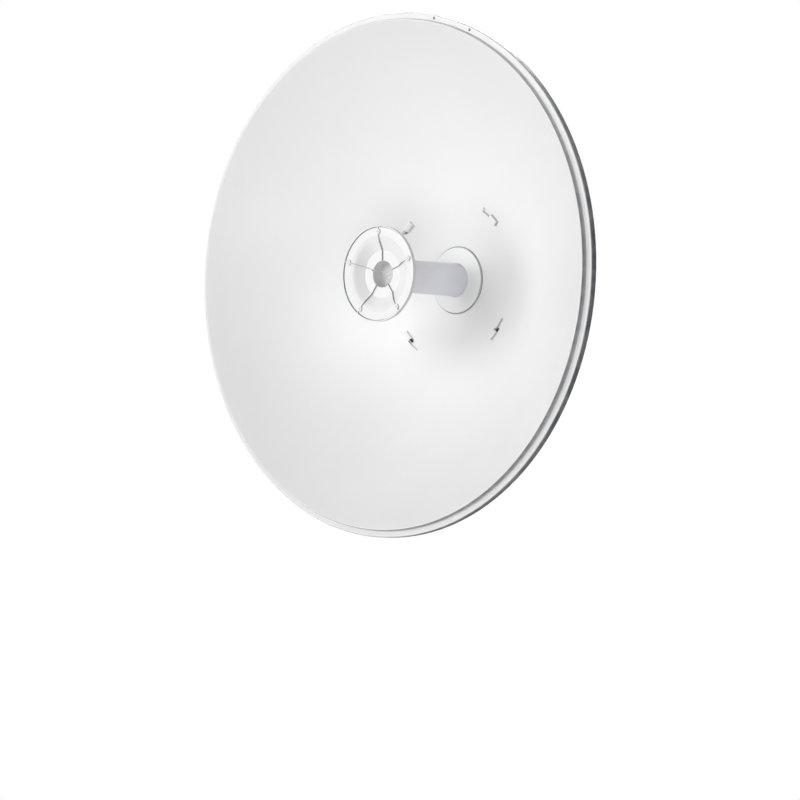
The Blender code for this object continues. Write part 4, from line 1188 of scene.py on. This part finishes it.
# Point (s, t, n) of the flat plate goes to path(s) + n * sideways(s) in plan, at height t
def foldPlate(mesh, bend, side=1, height=0.0):
    path, along, square = bend
    bm = bmesh.new()
    bm.from_mesh(mesh)
    for s in along[1:-1]:
        parts = bm.verts[:] + bm.edges[:] + bm.faces[:]
        bmesh.ops.bisect_plane(bm, geom=parts, dist=1e-7, plane_co=(s * mm, 0, 0), plane_no=(1, 0, 0))
    bm.to_mesh(mesh)
    bm.free()
    s, t, n = meshPoints(mesh).T / mm
    x, y = [np.interp(s, along, path[:, k]) + n * np.interp(s, along, square[:, k]) for k in (0, 1)]
    mesh.vertices.foreach_set("co", (np.column_stack((side * x, y + lipY, t + height)) * mm).ravel())
    return finishMesh(mesh)


cheek = {
    "inner": 52.0,
    "steel": 3.0,
    "foot": 32.0,
    "front": 134.3,
    "rear": 238.0,
    "halfHeight": 75.0,
    "bend": 3.6,
    "lowerCorner": 12.0,
    "upperCorner": 23.0,
    "rounding": (7, 6, 6, 8, 8, 7),
    "slotRadius": 82.0,
    "swing": 20.0,
}


# The slot is an arc about the pivot's hole, as wide as the hole, with round ends
def makeCheek(name, side):
    c = cheek
    middle, footDepth = c["inner"] + c["steel"] / 2, c["front"] + c["steel"] / 2
    plan = [(c["inner"] + c["foot"], footDepth), (middle, footDepth), (middle, c["rear"])]
    bend = bendPath(plan, c["bend"])
    high, end, low, up = c["halfHeight"], bend[1][-1], c["lowerCorner"], c["upperCorner"]
    outline = [(0, -high), (end - low, -high), (end, low - high),
               (end, high - up), (end - up, high), (0, high)]
    pivot = np.array((alongPath(bend, (middle, bolt["sidePlace"][1])), bolt["sideHeights"]["pivot"]))
    start, stop = np.radians((90 - c["swing"], 90 + c["swing"]))
    hole, far = bolt["hole"], c["slotRadius"]
    first, last = [pivot + far * np.array((math.cos(a), math.sin(a))) for a in (start, stop)]
    slot = np.concatenate((arc(pivot, far + hole, start, stop, 25),
                           arc(last, hole, stop, stop + math.pi, 13)[1:-1],
                           arc(pivot, far - hole, stop, start, 25),
                           arc(first, hole, start + math.pi, start + tau, 13)[1:-1]))
    footX, _, footZ = bolt["footPlace"]
    holes = [slot, circle(pivot, hole)]
    holes += boltHoles(bend, [((footX, footDepth), z) for z in (-footZ, footZ)])
    mesh = foldPlate(cutPlate(roundCorners(outline, c["rounding"], 8), holes, c["steel"]), bend, side)
    addPiece("cheekPlate_" + name, mesh, steelZinc, "galvanised_steel", "cheek_" + name)


makeCheek("left", -1)
makeCheek("right", 1)

bracket = {
    "outer": 51.7,
    "steel": 3.2,
    "rear": 262.0,
    "front": 196.0,
    "halfHeight": 72.0,
    "bend": 5.2,
    "corner": 12.0,
}


def makeBracket():
    b = bracket
    wing, web = b["outer"] - b["steel"] / 2, b["rear"] - b["steel"] / 2
    bend = bendPath([(wing, b["front"]), (wing, web), (-wing, web), (-wing, b["front"])], b["bend"])
    depth = bolt["sidePlace"][1]
    inWings = [((side * wing, depth), z) for z in bolt["sideHeights"].values() for side in (-1, 1)]
    inWeb = [((x * clampBolt["x"], web), z * clampBolt["z"]) for x in (-1, 1) for z in (-1, 1)]
    outline = strip(bend[1][-1], b["halfHeight"], b["corner"], 10)
    mesh = foldPlate(cutPlate(outline, boltHoles(bend, inWings + inWeb), b["steel"]), bend)
    addPiece("poleBracket", mesh, steelZinc, "galvanised_steel", "pole_bracket")


makeBracket()

jaw = {
    "flat": 298.0,
    "rise": 22.0,
    "vHalf": 26.0,
    "half": 50.0,
    "steel": 4.0,
    "edge": 0.6,
    "height": 30.0,
    "bend": 5.0,
    "corner": 5.0,
}


def makeJaw(name, height):
    j = jaw
    flat = j["flat"] + j["steel"] / 2
    flank = math.hypot(j["rise"], j["vHalf"])
    corner = j["vHalf"] + j["steel"] / 2 * (flank - j["vHalf"]) / j["rise"]
    tip = j["flat"] + j["rise"] + j["steel"] / 2 * flank / j["vHalf"]
    plan = [(j["half"], flat), (corner, flat), (0, tip), (-corner, flat), (-j["half"], flat)]
    bend = bendPath(plan, j["bend"])
    holes = boltHoles(bend, [((x * clampBolt["x"], flat), 0) for x in (-1, 1)])
    outline = strip(bend[1][-1], j["height"] / 2, j["corner"], 8)
    mesh = foldPlate(cutPlate(outline, holes, j["steel"], j["edge"]), bend, 1, height)
    addPiece("poleClamp_" + name, mesh, steelZinc, "galvanised_steel", "pole_clamp_" + name)


makeJaw("upper", clampBolt["z"])
makeJaw("lower", -clampBolt["z"])

plate = {
    "front": 131.0,
    "steel": 3.0,
    "half": 95.0,
    "corner": 22.0,
    "rounding": 9.0,
    "hole": 45.0,
    "holeColumns": 96,
    "hookRoot": 1.0,  # inside the plate
    "hookSteel": 2.5,
    "hookEdge": 0.3,
    "hookStem": (-10.5, -3.5),
    "hookTips": (3.2, 4.9, 2.8, 3.2),  # one for each lance
    "hookRise": 0.45,
    "hookThick": 1.4,
    "hookRounding": (0.2, 1.2, 0.5, 0.3, 0.8, 0.2),
}


# A hook stands on the plate, passes through its lance's cut and lies over the strap
def hookMesh(degrees, reach):
    p = plate
    root = p["front"] + p["hookRoot"]
    tip = bowlDepth(lance["circle"]) + p["hookRise"]
    under = tip + p["hookThick"]
    start, stop = p["hookStem"]
    shape = [(start, root), (start, tip), (reach, tip), (reach, under), (stop, under), (stop, root)]
    mesh = cutPlate(roundCorners(shape, p["hookRounding"], 5), [], p["hookSteel"], p["hookEdge"])
    out, along = outAndAlong(degrees)
    u, v, n = meshPoints(mesh).T[:, :, None]
    points = u * along + v * np.array((0, 1, 0)) + (n + lance["circle"] * mm) * out
    mesh.vertices.foreach_set("co", (points + (0, lipY * mm, 0)).ravel())
    return mesh


def makeBackPlate():
    p = plate
    near, half = p["half"] - p["corner"], p["half"]
    outline = [(near, -half), (half, -near), (half, near), (near, half),
               (-near, half), (-half, near), (-half, -near), (-near, -half)]
    footX, _, footZ = bolt["footPlace"]
    holes = [circle((0, 0), p["hole"], p["holeColumns"])]
    holes += [circle((x, z), bolt["hole"]) for x in (-footX, footX) for z in (-footZ, footZ)]
    flat = cutPlate(roundCorners(outline, p["rounding"], 8), holes, p["steel"])
    x, z, n = meshPoints(flat).T
    y = n + (lipY + p["front"] + p["steel"] / 2) * mm
    flat.vertices.foreach_set("co", np.column_stack((x, y, z)).ravel())
    addPiece("backPlate", finishMesh(flat), platePaint, "white_paint", "back_plate")
    bm = bmesh.new()
    for degrees, reach in zip(lance["degrees"], p["hookTips"]):
        bm.from_mesh(hookMesh(degrees, reach))
    hooks = bpy.data.meshes.new("plateHooks")
    bm.to_mesh(hooks)
    bm.free()
    # the hooks take the near-black painted shade
    addPiece("plateHooks", finishMesh(hooks), hookCoat, "grey_plastic")


makeBackPlate()
print("rear mount made")

studio = {
    "cameraPlace": (4.0476, -4.6670, -0.4612),
    "cameraLooks": (-0.674319, 0.736671, 0.051095),
    "lens": 218.31,
    "sensor": 36.0,
    "clip": (0.05, 200.0),
    "floorHeight": -0.62,
    "floorRings": (0.0, 2.0, 8.0, 24.0, 60.0),
    "floorColumns": 64,
    "floorTones": ((0.29, 0.29, 0.29), (0.31, 0.31, 0.31)),
    "air": (  # direction and strength of each pale side
        ((-1, 0, 0), 0.10),
        ((-0.7, 0.7, 0.1), 0.45),
        ((0, 0, 1), 0.05),
    ),
    "lampAngle": 30,
    "lampDistance": 3.0,
    "lamps": (  # degrees to the left of the front, degrees up, strength
        ("frontHigh", 0, 18, 0.92),
        ("lowRight", -30, -14, 0.93),
        ("keyLeft", 30, 2, 0.65),
        ("keyHighLeft", 30, 18, 0.43),
        ("lowLeft", 15, -14, 0.49),
        ("topLeft", 75, 60, 0.19),
        ("backLeft", 145, 30, 2.6),
    ),
}


# The camera sees white paper and white air, and everything else sees them lit
def whiteToCamera(tree, lit, output, whiteKind):
    light = addNode(tree, "LightPath")
    white = addNode(tree, whiteKind, Color=(1, 1, 1, 1), Strength=1.0)
    toCamera = light.outputs["Is Camera Ray"]
    mix = addNode(tree, "MixShader", in0=toCamera, in1=lit.outputs[0], in2=white.outputs[0])
    tree.links.new(mix.outputs[0], output.inputs["Surface"])


# The room's air: each side adds strength * (the part of the direction that points to it)
def makeWorld():
    world = bpy.data.worlds.new("studioAir")
    scene.world = world
    world.use_nodes = True
    tree = world.node_tree
    towards = addNode(tree, "TexCoord").outputs["Generated"]
    total = 0.0
    for side, strength in studio["air"]:
        part = addNode(tree, "VectorMath", {"operation": "DOT_PRODUCT"}, in0=towards, in1=side)
        lit = calculate(tree, "MAXIMUM", part.outputs["Value"], 0.0)
        scaled = calculate(tree, "MULTIPLY", lit, strength)
        total = calculate(tree, "ADD", total, scaled)
    air = tree.nodes["Background"]
    air.inputs["Color"].default_value = (1, 1, 1, 1)
    tree.links.new(total, air.inputs["Strength"])
    whiteToCamera(tree, air, tree.nodes["World Output"], "Background")


def addLamp(name, left, up, strength):
    light = bpy.data.lights.new(name, "SUN")
    light.angle = math.radians(studio["lampAngle"])
    light.energy = strength
    lamp = bpy.data.objects.new(name, light)
    scene.collection.objects.link(lamp)
    a, e = math.radians(left), math.radians(up)
    direction = Vector((-math.sin(a) * math.cos(e), -math.cos(a) * math.cos(e), math.sin(e)))
    lamp.location = direction * studio["lampDistance"]
    lamp.rotation_mode = "QUATERNION"
    lamp.rotation_quaternion = direction.to_track_quat("Z", "Y")


def makeCamera():
    data = bpy.data.cameras.new("camera")
    data.lens = studio["lens"]
    data.sensor_width = studio["sensor"]
    data.clip_start, data.clip_end = studio["clip"]
    camera = bpy.data.objects.new("camera", data)
    scene.collection.objects.link(camera)
    camera.location = studio["cameraPlace"]
    camera.rotation_mode = "QUATERNION"
    camera.rotation_quaternion = (-Vector(studio["cameraLooks"])).to_track_quat("Z", "Y")
    scene.camera = camera


# A flat disc: x = radius cos angle, y = radius sin angle
def makeFloor():
    angle = np.linspace(0, tau, studio["floorColumns"], endpoint=False)
    radius = np.array(studio["floorRings"])[:, None]
    level = studio["floorHeight"] + 0 * radius * angle
    points = np.stack((radius * np.cos(angle), radius * np.sin(angle), level), axis=-1)
    mesh = meshFromParts([(points, gridQuads(len(radius), len(angle), wrapCols=True))])
    floor = bpy.data.objects.new("studioFloor", mesh)
    scene.collection.objects.link(floor)
    paper, tree, shader, place = newMaterial("floorPaper", Roughness=0.9)
    fibre = useGroup(tree, drift, place, Scale=40.0, Low=0.0, High=1.0)
    tree.links.new(mixColors(tree, fibre, *studio["floorTones"]), shader.inputs["Base Color"])
    whiteToCamera(tree, shader, tree.nodes["Material Output"], "Emission")
    mesh.materials.append(paper)
    floor.visible_shadow = False  # the lamps also shine up through the paper, as from a lit table


makeWorld()
for lamp in studio["lamps"]:
    addLamp(*lamp)
makeFloor()
makeCamera()
print("studio made")
